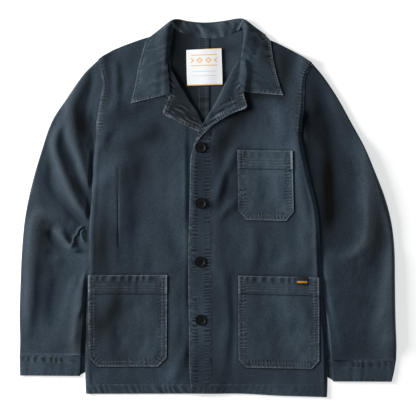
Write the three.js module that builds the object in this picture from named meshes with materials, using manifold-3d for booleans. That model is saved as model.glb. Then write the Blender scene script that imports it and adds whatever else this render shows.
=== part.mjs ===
// A chore jacket laid flat on its back, buttoned, with the sleeves straight down at its sides.
// Millimetres. +X is the picture's right (the wearer's left), +Y points to the collar, +Z up.
// Each cut piece of cloth is a thin wall, and the pieces lie on each other from the ground up:
// sleeves and collar leaf, back, fronts, lapels and collar wings, pockets, buttons.
import * as THREE from 'three';
import { mergeVertices } from 'three/addons/utils/BufferGeometryUtils.js';
import Module from 'manifold-3d';

const cloth = 1.5; // one layer of washed moleskin with its seam allowance
const doubled = 2.8; // cloth with its facing
const seam = 0.5; // side by side pieces
const layer = 0.4; // one piece lying on another
const sleevePress = 3.4; // both layers of the sleeve where the body lies on it
const sleeveLoose = 4.4; // the sleeve at the armhole seam
const sleeveFull = 6; // the sleeve between its folds
const sleeveCrest = 8.4; // the highest fold of the sleeve
const cuffHeight = 5;
const cuffWall = 1.8;
const bodyLift = sleevePress + layer; // the back's underside where it lies on a sleeve
const collarLift = cloth + 2 * layer; // the back's underside over the collar's leaf
const looseness = 1.1; // air between back and front, away from edges
const looseMost = 3.4;
const hemDepth = 18;
const hemFold = 0.8; // the turned hem's extra height
const reach = 12; // how far a piece looks around for what it lies on
const bodyRows = 28;
const tuckTop = 175; // below this height the sleeves lie under the body's sides
const tuckBottom = -195; // and above this one

// Rows from hem to shoulder: outer x, outer y, inner x, inner y, share of the shoulder's curve.
const frontRightRows = [
  [-256, -389, 6, -388, 0],
  [-257, -371, 6, -371, 0],
  [-258, -330, 6, -330, 0],
  [-256, -246, 6, -246, 0],
  [-251, -139, 6, -139, 0],
  [-249, -44, 6, -44, 0],
  [-244, 29, 6, 29, 0],
  [-240, 101, 6, 97, 0],
  [-236, 143, 2, 136, 0],
  [-232, 181, -14, 183, 0],
  [-224, 229, -38, 224, 0.05],
  [-219, 260, -60, 260, 0.2],
  [-223, 280, -76, 289, 0.5],
  [-227, 295, -77, 330, 0.8],
  [-231, 310, -71, 374, 1],
];
const frontLeftRows = [
  [250, -395, -36, -389, 0],
  [251, -376, -37, -371, 0],
  [251, -335, -39, -330, 0],
  [248, -262, -40, -256, 0],
  [238, -176, -41, -172, 0],
  [235, -78, -41, -78, 0],
  [230, -7, -39, 0, 0],
  [214, 61, -38, 63, 0],
  [201, 120, -36, 109, 0],
  [195, 153, -24, 149, 0],
  [196, 184, -8, 181, 0],
  [199, 212, 7, 209, 0.05],
  [200, 237, 22, 235, 0.2],
  [201, 265, 44, 279, 0.5],
  [208, 284, 68, 321, 0.8],
  [219, 302, 71, 374, 1],
];
// The shoulder seam: distance from the centre, and its height on each side.
const shoulder = [
  [71, 374, 374],
  [109, 363, 360],
  [143, 353, 346],
  [176, 340, 330],
  [200, 330, 315],
  [219, 319, 302],
  [231, 310, 300],
];
const neckDip = 17; // the back neckline's dip at the centre

// Rows from armhole to cuff: outer x, outer y, inner x, inner y, bow towards the body.
const sleeveRightRows = [
  [-232, 309, -235, 122, 17],
  [-262, 279, -236, 92, 8],
  [-294, 231, -227, 61, 2],
  [-328, 181, -219, 25, 0],
  [-351, 113, -216, -13, 0],
  [-370, 46, -220, -50, 0],
  [-382, -21, -227, -86, 0],
  [-390, -88, -237, -124, 0],
  [-393, -155, -250, -170, 0],
  [-395, -223, -261, -229, 0],
  [-394, -277, -266, -281, 0],
  [-395, -308, -267, -309, 0],
];
const cuffRightRows = [
  [-395, -309, -267, -310, 0],
  [-395, -330, -267, -332, 0],
  [-395, -351, -268, -353, 0],
];
const sleeveLeftRows = [
  [220, 301, 195.5, 137, 18],
  [245, 270, 197, 101, 6],
  [273, 227, 195, 63, 0],
  [302, 174, 197, 25, 0],
  [328, 126, 202, -13, 0],
  [349, 76, 208, -50, 0],
  [370, 21, 216, -84, 0],
  [383, -34, 225, -113, 0],
  [390, -92, 234, -145, 0],
  [391, -160, 243, -185, 0],
  [392, -231, 251, -235, 0],
  [394, -288, 257, -290, 0],
  [395, -321, 260, -318, 0],
];
const cuffLeftRows = [
  [395, -322, 260, -319, 0],
  [392, -342, 261, -341, 0],
  [387, -362, 262, -362, 0],
];
const peekMost = 7; // how far a sleeve's under layer shows past the upper one, towards the body
const bowSkew = 0.6; // the armhole bows most near the shoulder

// Folds: from x, y, via x, y, to x, y, half width, rise (a furrow when negative).
const sleeveRightFolds = [
  [-242, 302, -250, 216, -239, 150, 10, 2.2],
  [-250, 285, -271, 200, -246, 92, 14, -2.2],
  [-290, 227, -288, 145, -246, 28, 11, 2.4],
  [-311, 181, -294, 90, -252, -21, 10, -1.8],
  [-332, 174, -317, 60, -252, -38, 11, 2.2],
  [-353, 101, -336, 27, -311, -15, 11, -1.2],
  [-357, -19, -332, -60, -321, -88, 9, -1.8],
  [-332, -42, -311, -74, -277, -92, 9, 2],
  [-262, -110, -288, -190, -286, -290, 22, 1.8],
  [-342, -78, -355, -180, -367, -288, 16, -1.4],
];
const sleeveLeftFolds = [
  [218, 279, 216, 160, 256, -15, 16, -1.6],
  [252, 280, 304, 145, 326, 30, 14, 2.3],
  [328, 10, 310, -66, 256, -92, 12, 2.3],
  [256, 227, 280, 100, 277, -15, 12, -1.6],
  [251, -76, 266, -80, 273, -42, 8, 1.8],
  [351, 17, 361, -60, 319, -141, 12, -1.5],
  [380, -88, 368, -172, 344, -256, 14, 1.4],
  [256, -110, 264, -193, 268, -288, 10, 1.2],
];
const frontRightFolds = [
  [-195, 312, -191, 269, -191, 227, 10, 1.3],
  [-212, 305, -211, 275, -210, 244, 8, -0.8],
  [-191, 233, -206, 175, -220, 130, 12, 1.8],
  [-122, 180, -165, 170, -195, 143, 18, -1],
  [-46, -288, -60, -325, -76, -360, 12, 1],
  [-120, 60, -128, -40, -124, -120, 16, 0.9],
];
const frontLeftFolds = [
  [62, 140, 34, 63, 22, 17, 12, 1.5],
  [50, 69, 42, 40, 36, 6, 9, -0.8],
  [64, 17, 45, 4, 25, -15, 9, 1],
  [180, 206, 186, 122, 203, -25, 12, 1.4],
  [120, -40, 128, -80, 122, -125, 16, 0.9],
];

// The lapels from the notch end down: roll x, roll y, outer x, outer y.
const lapelRightRows = [
  [-80.5, 296, -82.5, 293],
  [-67, 272, -78.5, 260],
  [-58, 255, -77, 241],
  [-51, 245, -94, 199],
  [-38, 223, -67, 184],
  [-24, 203, -43, 172],
  [-18, 178, -24, 164],
];
const lapelLeftRows = [
  [65, 311, 67.5, 307],
  [53, 294, 66.5, 281],
  [43, 275, 67, 260],
  [32, 254, 73, 241],
  [27, 243, 81, 212],
  [14, 218, 56, 201],
  [1, 197, 26, 185],
  [-13, 172, -1, 164],
  [-27, 143, -23, 141],
];
const lapelFullness = 1.2;

// The collar's sections from the left wing round the back to the right wing: base x, y, z (on the
// neck seam), roll x, y, z (its crest), turn x, y, z (just past the crest), edge x, y, z.
const collarRows = [
  [-80, 239, 5.2, -84, 238, 6.4, -92, 237, 6.4, -162, 220, 5],
  [-82, 266, 5.4, -87, 266, 8, -96, 265, 7.4, -153, 258, 5.2],
  [-85, 298, 6.5, -90, 305, 11.5, -100, 304, 9.5, -145, 296, 5.8],
  [-80, 328, 7, -88, 337, 14.5, -98, 338, 11.5, -139, 323, 6.6],
  [-78, 350, 7.2, -86, 364, 15.5, -98, 362, 11.5, -133, 343, 7],
  [-76, 368, 7.5, -85, 378, 14, -98, 371, 9.2, -133, 357, 7],
  [-71, 379, 6.6, -79, 389, 11.5, -90, 382, 5.6, -129, 363, 4.2],
  [-66, 375, 4.6, -73, 391, 8.5, -78, 393, 4.8, -120, 366, 1.2],
  [-57, 370, 3.2, -62, 390, 6.4, -65, 395, 3.2, -104, 345, 0.8],
  [-34, 362, 2.8, -40, 387, 5.4, -42, 393, 2.8, -54, 322, 0.8],
  [-1, 358, 2.8, -7, 384, 5.2, -8, 390, 2.7, -4, 314, 0.8],
  [31, 361, 2.8, 30, 387, 5.4, 29, 393, 2.8, 46, 322, 0.8],
  [57, 370, 3.2, 62, 391, 6.4, 64, 396, 3.2, 96, 342, 0.8],
  [66, 375, 4.6, 74, 392, 8.5, 79, 394, 4.8, 116, 364, 1.2],
  [71, 379, 6.6, 79, 389, 11.5, 90, 382, 5.6, 125, 360.5, 4.2],
  [75, 366, 7.5, 82, 374, 14, 96, 368, 9.2, 130, 353, 7],
  [75, 348, 7.2, 80, 356, 15.5, 93, 355, 11.5, 132, 337, 7],
  [74, 328, 7, 77, 334, 14.5, 90, 334, 11.5, 137, 317, 6.6],
  [72, 300, 6.5, 75, 304, 11.5, 86, 303, 9.5, 141, 292, 5.8],
  [72, 270, 5.4, 76, 271, 8, 86, 271, 7.4, 148, 265, 5.2],
  [76, 244, 5.2, 80, 244, 6.4, 88, 243, 6.4, 158, 237, 5],
];

// Pockets, rows from the top edge down: left x, left y, right x, right y, rise over the front.
const pocketRightRows = [
  [-248, -141, -86, -141, 1],
  [-248, -179, -86, -179, 1],
  [-248, -182, -86, -182, 0],
  [-249, -250, -86, -250, 0.5],
  [-249, -314, -87, -314, 0],
  [-232, -333, -104, -333, 0],
];
const pocketLeftRows = [
  [63, -142, 233, -146, 1],
  [63, -180, 233, -184, 1],
  [63, -183, 233, -187, 0],
  [64, -250, 234, -254, 0.5],
  [64, -316, 234, -322, 0],
  [81, -335, 220, -338, 0],
];
const pocketChestRows = [
  [62, 122, 177, 120, 1],
  [62, 83, 178, 81, 1],
  [62, 80, 178, 78, 0],
  [63, 30, 179, 28, 0.5],
  [64, -6, 180, -9, 0],
  [79, -25, 165, -27, 0],
];

const buttonPlaces = [[-16, 127], [-15.5, 10], [-17, -113], [-15.5, -235]];
const button = { radius: 11.5, height: 3.6, rim: 2.2, dish: 1.1, hole: 1.1, holeSpacing: 2.4 };

const labelRows = [
  [-46, 334, 28, 338],
  [-44, 260, 29, 262],
];
const labelThickness = 1;
const tabRows = [
  [187, -144, 208, -144.5],
  [187, -161, 208, -161.5],
];
const tabThickness = 1.2;

const colours = {
  cloth: 0x303a43,
  sleeve: 0x343f49,
  facing: 0x39454f,
  pocket: 0x3b464f,
  inside: 0x1b1f24,
  button: 0x1e1a1a,
  label: 0xd9d6cc,
  tab: 0x141416,
};

const { lerp, smoothstep, clamp } = THREE.MathUtils;
const point = (x, y, z) => new THREE.Vector3(x, y, z);

function material(colour, roughness = 0.9) {
  return new THREE.MeshStandardMaterial({ color: colour, roughness, metalness: 0 });
}

// A closed wall between two grids of points with the same rows and columns. A looped wall's
// columns go round, so it has ends but no sides.
function wall(outside, inside, looped = false) {
  const rows = outside.length;
  const columns = outside[0].length;
  const points = [...outside.flat(), ...inside.flat()];
  const at = (side, r, c) => side * rows * columns + r * columns + (c % columns);
  const faces = [];
  const quad = (a, b, c, d) => faces.push(a, b, c, a, c, d);
  const spans = looped ? columns : columns - 1;
  for (let c = 0; c < spans; c += 1) {
    for (let r = 0; r < rows - 1; r += 1) {
      quad(at(0, r, c), at(0, r, c + 1), at(0, r + 1, c + 1), at(0, r + 1, c));
      quad(at(1, r, c), at(1, r + 1, c), at(1, r + 1, c + 1), at(1, r, c + 1));
    }
    quad(at(0, 0, c), at(1, 0, c), at(1, 0, c + 1), at(0, 0, c + 1));
    quad(at(0, rows - 1, c), at(0, rows - 1, c + 1), at(1, rows - 1, c + 1), at(1, rows - 1, c));
  }
  for (let r = 0; r < rows - 1 && !looped; r += 1) {
    const c = columns - 1;
    quad(at(0, r, 0), at(0, r + 1, 0), at(1, r + 1, 0), at(1, r, 0));
    quad(at(0, r, c), at(1, r, c), at(1, r + 1, c), at(0, r + 1, c));
  }
  let volume = 0;
  for (let i = 0; i < faces.length; i += 3) {
    const [a, b, c] = [points[faces[i]], points[faces[i + 1]], points[faces[i + 2]]];
    volume += a.dot(b.clone().cross(c));
  }
  if (volume < 0) {
    faces.reverse();
  }
  const geometry = new THREE.BufferGeometry().setFromPoints(points);
  geometry.setIndex(faces);
  return geometry;
}

// A smooth curve through one pair of columns of a table.
function edge(rows, column) {
  return new THREE.CatmullRomCurve3(rows.map((row) => point(row[column], row[column + 1], 0)));
}

// A value of a table's column at a share of the way down its rows.
function blend(rows, column, share) {
  const place = share * (rows.length - 1);
  const first = Math.min(Math.floor(place), rows.length - 2);
  return lerp(rows[first][column], rows[first + 1][column], place - first);
}

// The value of a column at a place, in a table ordered by its first column.
function lookUp(table, place, column, key = 0) {
  const last = table.length - 2;
  let i = 0;
  while (i < last && (table[i + 1][key] - place) * (table[last + 1][key] - table[0][key]) < 0) {
    i += 1;
  }
  const share = (place - table[i][key]) / (table[i + 1][key] - table[i][key]);
  return lerp(table[i][column], table[i + 1][column], clamp(share, 0, 1));
}

// The top of a front or back at a distance from the centre: the shoulder seam, then the neckline.
function crest(x) {
  const away = Math.abs(x);
  if (away < shoulder[0][0]) {
    return shoulder[0][1] - neckDip * (1 - (away / shoulder[0][0]) ** 2);
  }
  return lookUp(shoulder, away, x < 0 ? 1 : 2);
}

// Plan of a panel: straight rows between its outer and inner edge, bent like its top row.
function plan(rows, rowSteps, columnShares) {
  const outer = edge(rows, 0);
  const inner = edge(rows, 2);
  const top = rows[rows.length - 1];
  const grid = [];
  for (let r = 0; r <= rowSteps; r += 1) {
    const share = r / rowSteps;
    const from = outer.getPoint(share);
    const to = inner.getPoint(share);
    const curved = blend(rows, 4, share) || 0;
    grid.push(columnShares.map((across) => {
      const p = from.clone().lerp(to, across);
      p.y += curved * (crest(lerp(top[0], top[2], across)) - lerp(top[1], top[3], across));
      return p;
    }));
  }
  return grid;
}

// Even shares from 0 to 1, closer together at the start when the power is over 1.
function shares(count, power = 1) {
  return Array.from({ length: count + 1 }, (_, i) => (i / count) ** power);
}

const raised = (grid, height) => grid.map((row) => row.map((p) => point(p.x, p.y, height(p.x, p.y, p))));

// The rise of all folds at a place: soft ridges and furrows along two straight runs each.
function relief(folds, x, y) {
  let rise = 0;
  for (const [ax, ay, bx, by, cx, cy, width, height] of folds) {
    const near = Math.min(offLine(x, y, ax, ay, bx, by), offLine(x, y, bx, by, cx, cy));
    rise += height * Math.exp(-((near / width) ** 2));
  }
  return rise;
}

function offLine(x, y, ax, ay, bx, by) {
  const along = ((x - ax) * (bx - ax) + (y - ay) * (by - ay)) / ((bx - ax) ** 2 + (by - ay) ** 2);
  const t = clamp(along, 0, 1);
  return Math.hypot(x - lerp(ax, bx, t), y - lerp(ay, by, t));
}

// The height of a grid's facets at a place, or nothing where it has none.
function heightOn(grid, x, y) {
  let best = -Infinity;
  for (let r = 0; r < grid.length - 1; r += 1) {
    for (let c = 0; c < grid[r].length - 1; c += 1) {
      const [p, q, s, t] = [grid[r][c], grid[r][c + 1], grid[r + 1][c + 1], grid[r + 1][c]];
      if (x < Math.min(p.x, q.x, s.x, t.x) || x > Math.max(p.x, q.x, s.x, t.x)) continue;
      if (y < Math.min(p.y, q.y, s.y, t.y) || y > Math.max(p.y, q.y, s.y, t.y)) continue;
      best = Math.max(best, onTriangle(p, q, s, x, y), onTriangle(p, s, t, x, y));
    }
  }
  return best;
}

function onTriangle(a, b, c, x, y) {
  const area = (b.x - a.x) * (c.y - a.y) - (c.x - a.x) * (b.y - a.y);
  const v = ((x - a.x) * (c.y - a.y) - (c.x - a.x) * (y - a.y)) / area;
  const w = ((b.x - a.x) * (y - a.y) - (x - a.x) * (b.y - a.y)) / area;
  const inside = v >= -1e-6 && w >= -1e-6 && v + w <= 1 + 1e-6;
  return inside ? a.z + v * (b.z - a.z) + w * (c.z - a.z) : -Infinity;
}

// The highest of some grids around a place, which is what a piece there lies on.
function seat(grids, x, y, around = reach) {
  let top = 0;
  for (const dx of [-around, 0, around]) {
    for (const dy of [-around, 0, around]) {
      top = Math.max(top, ...grids.map((grid) => heightOn(grid, x + dx, y + dy)));
    }
  }
  return top;
}

const group = new THREE.Group();

function add(name, geometry, colour, roughness) {
  const mesh = new THREE.Mesh(geometry, material(colour, roughness));
  mesh.name = name;
  group.add(mesh);
  return mesh;
}

// The body's side edges, as the corners of its panels.
const sideEdges = [frontRightRows, frontLeftRows].map(
  (rows) => plan(rows, bodyRows, [0]).map(([p]) => [p.x, p.y]),
);

// How far a place is outside the body's side edge.
function outsideBody(x, y) {
  return Math.abs(x) - Math.abs(lookUp(sideEdges[x < 0 ? 0 : 1], y, 0, 1));
}

// The back's underside: up on the collar's leaf at the neck, and on the sleeves at the sides.
function backUnder(x, y) {
  const neck = collarLift * smoothstep(y, 262, 296) * (1 - smoothstep(Math.abs(x), 140, 170));
  const rampEnd = x < 0 ? 205 : 184;
  const alongSide = smoothstep(-y, -tuckTop - 30, -tuckTop) * smoothstep(y, tuckBottom - 40, tuckBottom);
  return Math.max(neck, bodyLift * alongSide * smoothstep(Math.abs(x), rampEnd - 40, rampEnd));
}

// Backs: the side edge is the front's, and the inner edge is the centre back seam.
function backPiece(name, frontRows, centre) {
  const top = frontRows.length - 1;
  const rows = frontRows.map(([x, y, , , curved], i) => {
    const middle = i === top ? crest(centre) : lerp(y, crest(centre), curved * 0.8);
    return [x, y, centre, middle, curved];
  });
  const columns = [0, 0.04, 0.09, 0.15, 0.22, 0.32, 0.44, 0.56, 0.69, 0.8, 0.9, 1];
  const flat = plan(rows, bodyRows, columns);
  const under = raised(flat, backUnder);
  const over = raised(flat, (x, y) => backUnder(x, y) + cloth);
  add(name, wall(over, under), colours.inside);
  return over;
}
const backTops = [
  backPiece('back_right', frontRightRows, 1 - seam / 2),
  backPiece('back_left', frontLeftRows, 1 + seam / 2),
];

const hemRise = (y, hemY) => hemFold * (1 - smoothstep(y, hemY + hemDepth - 2, hemY + hemDepth + 1));

// A front lies on the back, loose by its folds but closed along its edges.
function frontPiece(name, rows, folds, beneath, pressed, thickness) {
  const flat = plan(rows, bodyRows, shares(13, 1.15));
  const [lastRow, lastColumn] = [flat.length - 1, flat[0].length - 1];
  const slack = new Map();
  flat.forEach((row, r) => row.forEach((p, c) => {
    const fromEnds = Math.min(r, lastRow - r) / 2;
    const fromSides = Math.min(c, (lastColumn - c) * 0.6);
    slack.set(p, clamp(Math.min(fromEnds, fromSides) / 1.6, 0, 1));
  }));
  const under = raised(flat, (x, y, p) => {
    const air = clamp(looseness + relief(folds, x, y), 0, looseMost) * slack.get(p);
    return seat(beneath, x, y) + layer + air * (1 - pressed(x));
  });
  const over = under.map((row) => row.map((p) => point(p.x, p.y, p.z + thickness(p.x, p.y))));
  add(name, wall(over, under), colours.cloth);
  return over;
}
const frontRightTop = frontPiece(
  'front_right', frontRightRows, frontRightFolds, backTops, (x) => smoothstep(x, -80, -52),
  (x, y) => cloth + hemRise(y, -389) * (1 - smoothstep(x, -70, -50)),
);
const frontLeftTop = frontPiece(
  'front_left', frontLeftRows, frontLeftFolds, [...backTops, frontRightTop], () => 0,
  (x, y) => lerp(doubled, cloth, smoothstep(x, 4, 12)) + hemRise(y, -392) * smoothstep(x, 20, 30),
);
const frontTops = [frontRightTop, frontLeftTop];

// A sleeve's height: pressed flat under the body, loose at its seam, full beyond, with its folds.
function sleeveHeight(x, y, folds) {
  const away = outsideBody(x, y);
  const atSide = 1 - smoothstep(y, tuckTop + 5, tuckTop + 35);
  const nearBody = lerp(sleeveLoose, sleevePress, atSide);
  const full = clamp(sleeveFull + relief(folds, x, y), sleeveLoose, sleeveCrest);
  return lerp(nearBody, full, smoothstep(away, lerp(2, 13, atSide), lerp(16, 34, atSide)));
}

// A flattened tube: each row's ring runs over the top from the outer edge to the inner one, and
// back along the ground. The wall is thicker on the crests, where the cloth doubles up.
const ringOver = [0, 0.02, 0.07, 0.15, 0.25, 0.36, 0.48, 0.6, 0.71, 0.8, 0.87, 0.93, 0.98, 1];
const ringUnder = [0.985, 0.86, 0.72, 0.58, 0.44, 0.3, 0.16, 0.015];
const crestDoubling = 1.1;
const pushTop = tuckTop - 12; // above this height a sleeve keeps clear of the body's edge

function tube(name, rows, rowSteps, height, thickness) {
  const outer = edge(rows, 0);
  const inner = edge(rows, 2);
  const last = ringOver.length - 1;
  const outside = [];
  const inside = [];
  for (let r = 0; r <= rowSteps; r += 1) {
    const share = r / rowSteps;
    const from = outer.getPoint(share);
    const to = inner.getPoint(share);
    const length = from.distanceTo(to);
    const bow = Math.sign(to.x) * -blend(rows, 4, share);
    const spare = clamp(outsideBody(to.x, to.y) - 2 * seam, 0, peekMost);
    const peek = spare * smoothstep(-to.y, -tuckBottom, -tuckBottom + 35);
    const place = (across, z, more = 0) => {
      const p = from.clone().lerp(to, across + more / length);
      p.x += bow * Math.sin(Math.PI * clamp(across, 0, 1) ** bowSkew);
      if (p.y > pushTop) {
        p.x += Math.sign(p.x) * Math.max(0, seam - outsideBody(p.x, p.y));
      }
      p.z = z;
      return p;
    };
    const inset = thickness / length;
    const squeeze = (across) => clamp(across, inset, 1 - inset);
    const outerRing = [];
    const innerRing = [];
    ringOver.forEach((across, i) => {
      const p = place(across, 0);
      const full = height(p.x, p.y);
      const atEdge = i === 0 || i === last;
      const nearEdge = i === 1 || i === last - 1;
      const z = atEdge ? full * 0.5 : full * (nearEdge ? 0.94 : 1);
      const more = i === last ? peek * 0.5 : 0;
      outerRing.push(place(across, z, more));
      const crestShare = clamp((full - sleeveFull) / (sleeveCrest - sleeveFull), 0, 1);
      const top = full - thickness - crestShare * crestDoubling;
      const within = Math.max(thickness + 0.3, nearEdge ? top - 0.2 : top);
      innerRing.push(place(squeeze(across), atEdge ? full * 0.5 : within, more));
    });
    ringUnder.forEach((across, i) => {
      const more = i === 0 ? peek : 0;
      outerRing.push(place(across, 0, more));
      innerRing.push(place(squeeze(across), thickness, more));
    });
    outside.push(outerRing);
    inside.push(innerRing);
  }
  add(name, wall(outside, inside, true), colours.sleeve);
}
tube('sleeve_right', sleeveRightRows, 24, (x, y) => sleeveHeight(x, y, sleeveRightFolds), cloth);
tube('sleeve_left', sleeveLeftRows, 24, (x, y) => sleeveHeight(x, y, sleeveLeftFolds), cloth);
tube('cuff_right', cuffRightRows, 3, () => cuffHeight, cuffWall);
tube('cuff_left', cuffLeftRows, 3, () => cuffHeight, cuffWall);

// A piece that lies on others: its plan moved up onto them.
function laidPiece(name, rows, rowSteps, columns, beneath, thickness, colour, fullness = () => 0) {
  const flat = plan(rows.map((row) => row.slice(0, 4)), rowSteps, shares(columns));
  const under = flat.map((row, r) => row.map((p, c) => {
    const puff = fullness(r / rowSteps, c / columns);
    return point(p.x, p.y, seat(beneath, p.x, p.y, 8) + layer + puff);
  }));
  const over = raised(under, (x, y, p) => p.z + thickness);
  add(name, wall(over, under), colour);
  return over;
}
const lapelPuff = (down, across) => lapelFullness * Math.sin(Math.PI * down) * (1 - across) ** 2;
laidPiece('lapel_right', lapelRightRows, 12, 5, [frontRightTop], doubled, colours.facing, lapelPuff);
laidPiece('lapel_left', lapelLeftRows, 16, 5, [frontLeftTop], doubled, colours.facing, lapelPuff);

// A patch pocket: straight rows, a turned band along the top and cut-off lower corners.
function pocket(name, rows, columns, beneath) {
  const grid = [];
  const rises = [];
  rows.forEach((row, i) => {
    const next = rows[i + 1];
    const drop = next ? row[1] - next[1] : 0;
    const steps = next ? Math.max(1, Math.round(drop / 32)) : 1;
    for (let s = 0; s < steps; s += 1) {
      const mix = (column) => (next ? lerp(row[column], next[column], s / steps) : row[column]);
      const from = point(mix(0), mix(1), 0);
      const to = point(mix(2), mix(3), 0);
      grid.push(shares(columns).map((across) => from.clone().lerp(to, across)));
      rises.push(mix(4));
    }
  });
  const under = raised(grid, (x, y) => seat(beneath, x, y, 10) + layer);
  const over = under.map((row, r) => row.map((p, c) => {
    const inBand = rises[r] === 1;
    const belly = inBand ? 1 : rises[r] * Math.sin((Math.PI * c) / columns);
    return point(p.x, p.y, p.z + cloth + belly);
  }));
  add(name, wall(over, under), colours.pocket);
  return over;
}
pocket('pocket_lower_right', pocketRightRows, 8, [frontRightTop]);
const pocketLeftTop = pocket('pocket_lower_left', pocketLeftRows, 8, [frontLeftTop]);
pocket('pocket_chest', pocketChestRows, 6, [frontLeftTop]);

// The collar: a wall along smooth sections from its base, over the roll, to its leaf's edge.
function collar() {
  const rowSteps = 32;
  const across = 10;
  const runs = [0, 3, 6, 9].map((column) => new THREE.CatmullRomCurve3(
    collarRows.map((row) => point(row[column], row[column + 1], row[column + 2])),
  ));
  const half = cloth / 2;
  const middle = [];
  for (let r = 0; r <= rowSteps; r += 1) {
    const [base, roll, turn, tip] = runs.map((run) => run.getPoint(r / rowSteps));
    const mid = turn.clone().lerp(tip, 0.5);
    mid.z = Math.min(mid.z, tip.z + 0.1);
    const section = new THREE.CatmullRomCurve3([base, roll, turn, mid, tip], false, 'centripetal');
    const onFront = tip.z > 4.1;
    middle.push(section.getPoints(across).map((p) => {
      const rest = onFront ? seat(frontTops, p.x, p.y, 6) + layer : 0;
      return point(p.x, p.y, Math.max(p.z, rest + half));
    }));
  }
  const normals = middle.map((row, r) => row.map((p, c) => {
    const nextRow = middle[Math.min(r + 1, rowSteps)][c];
    const lastRow = middle[Math.max(r - 1, 0)][c];
    const along = nextRow.clone().sub(lastRow);
    const down = row[Math.min(c + 1, across)].clone().sub(row[Math.max(c - 1, 0)]);
    return down.cross(along).normalize().multiplyScalar(half);
  }));
  const outside = middle.map((row, r) => row.map((p, c) => p.clone().add(normals[r][c])));
  const inside = middle.map((row, r) => row.map((p, c) => p.clone().sub(normals[r][c])));
  for (const p of [...outside.flat(), ...inside.flat()]) {
    p.z = Math.max(p.z, 0);
  }
  add('collar', wall(outside, inside), colours.facing);
}
collar();

laidPiece('neck_label', labelRows, 4, 4, backTops, labelThickness, colours.label);
laidPiece('pocket_tab', tabRows, 2, 2, [pocketLeftTop], tabThickness, colours.tab);

// Buttons: a turned disc with a raised rim and four holes.
const wasm = await Module();
wasm.setup();

function solid(geometry) {
  geometry.deleteAttribute('normal');
  geometry.deleteAttribute('uv');
  const merged = mergeVertices(geometry, 1e-4);
  return new wasm.Manifold(new wasm.Mesh({
    numProp: 3,
    vertProperties: new Float32Array(merged.attributes.position.array),
    triVerts: new Uint32Array(merged.index.array),
  }));
}

function buttonGeometry() {
  const { radius, height, rim, dish, hole, holeSpacing } = button;
  const profile = [
    [0, 0], [radius - 1.4, 0], [radius, 1.2], [radius, height - 1], [radius - 0.8, height],
    [radius - rim, height], [radius - rim - 1.2, height - dish], [0, height - dish],
  ].map(([r, z]) => new THREE.Vector2(r, z));
  let disc = solid(new THREE.LatheGeometry(profile, 20).rotateX(Math.PI / 2));
  for (let i = 0; i < 4; i += 1) {
    const turn = (i + 0.5) * Math.PI / 2;
    const pin = new THREE.CylinderGeometry(hole, hole, 3 * height, 8).rotateX(Math.PI / 2);
    pin.translate(holeSpacing * Math.cos(turn), holeSpacing * Math.sin(turn), height / 2);
    disc = disc.subtract(solid(pin));
  }
  const mesh = disc.getMesh();
  const geometry = new THREE.BufferGeometry();
  geometry.setAttribute('position', new THREE.BufferAttribute(mesh.vertProperties, 3));
  geometry.setIndex(new THREE.BufferAttribute(mesh.triVerts, 1));
  return geometry;
}

buttonPlaces.forEach(([x, y], i) => {
  const disc = add(`button_${i + 1}`, buttonGeometry(), colours.button, 0.45);
  disc.position.set(x, y, seat([frontLeftTop], x, y, button.radius) + layer);
});

export default group;
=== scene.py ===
import math
from functools import partial
import bpy
import numpy as np
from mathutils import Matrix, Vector


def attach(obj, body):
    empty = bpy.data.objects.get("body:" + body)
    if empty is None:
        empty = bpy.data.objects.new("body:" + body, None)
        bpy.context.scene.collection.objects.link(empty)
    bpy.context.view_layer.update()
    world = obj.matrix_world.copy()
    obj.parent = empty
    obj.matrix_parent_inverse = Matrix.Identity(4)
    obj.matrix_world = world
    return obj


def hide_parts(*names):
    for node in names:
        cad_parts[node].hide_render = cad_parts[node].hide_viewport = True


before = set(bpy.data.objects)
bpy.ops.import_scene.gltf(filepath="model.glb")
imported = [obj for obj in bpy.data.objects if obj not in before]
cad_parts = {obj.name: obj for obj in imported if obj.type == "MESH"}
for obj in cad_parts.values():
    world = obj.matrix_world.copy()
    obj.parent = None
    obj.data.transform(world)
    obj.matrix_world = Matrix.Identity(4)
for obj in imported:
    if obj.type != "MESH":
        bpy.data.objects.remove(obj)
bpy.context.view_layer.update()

# A chore jacket lying flat. Tables and sizes are in millimetres, meshes in metres.
# Left and right in names are the wearer's, so the right sleeve is at the picture's left.
mm = 0.001
cloth = 1.3  # one layer
air = 0.4  # between pieces that lie on each other
foldRound = 3.2  # how round a sleeve's folded edge is


def smooth(value, low, high):
    t = np.clip((value - low) / (high - low), 0.0, 1.0)
    return t * t * (3 - 2 * t)


def curveThrough(points, count):
    # a smooth run through points, any number of columns
    p = np.array(points, float)
    p = np.vstack([2 * p[0] - p[1], p, 2 * p[-1] - p[-2]])
    place = np.linspace(0, len(points) - 1, count) if np.isscalar(count) else np.asarray(count) * (len(points) - 1)
    i = np.minimum(place.astype(int), len(points) - 2)
    t = (place - i)[:, None]
    a, b, c, d = p[i], p[i + 1], p[i + 2], p[i + 3]
    return 0.5 * (2 * b + (c - a) * t + (2 * a - 5 * b + 4 * c - d) * t * t + (3 * b - a - 3 * c + d) * t ** 3)


def nearPath(path, x, y):
    # distance to a path, length along it, and which side (left of its direction is positive)
    best = np.full(x.shape, 1e9)
    along = np.zeros(x.shape)
    side = np.ones(x.shape)
    start = 0.0
    for (ax, ay), (bx, by) in zip(path[:-1], path[1:]):
        dx, dy = bx - ax, by - ay
        length = math.hypot(dx, dy)
        if length < 1e-6:
            continue
        t = np.clip(((x - ax) * dx + (y - ay) * dy) / length ** 2, 0, 1)
        away = np.hypot(x - ax - t * dx, y - ay - t * dy)
        closer = away < best
        best = np.where(closer, away, best)
        along = np.where(closer, start + t * length, along)
        side = np.where(closer, np.sign(dx * (y - ay) - dy * (x - ax)), side)
        start += length
    return best, along, side, start


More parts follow.
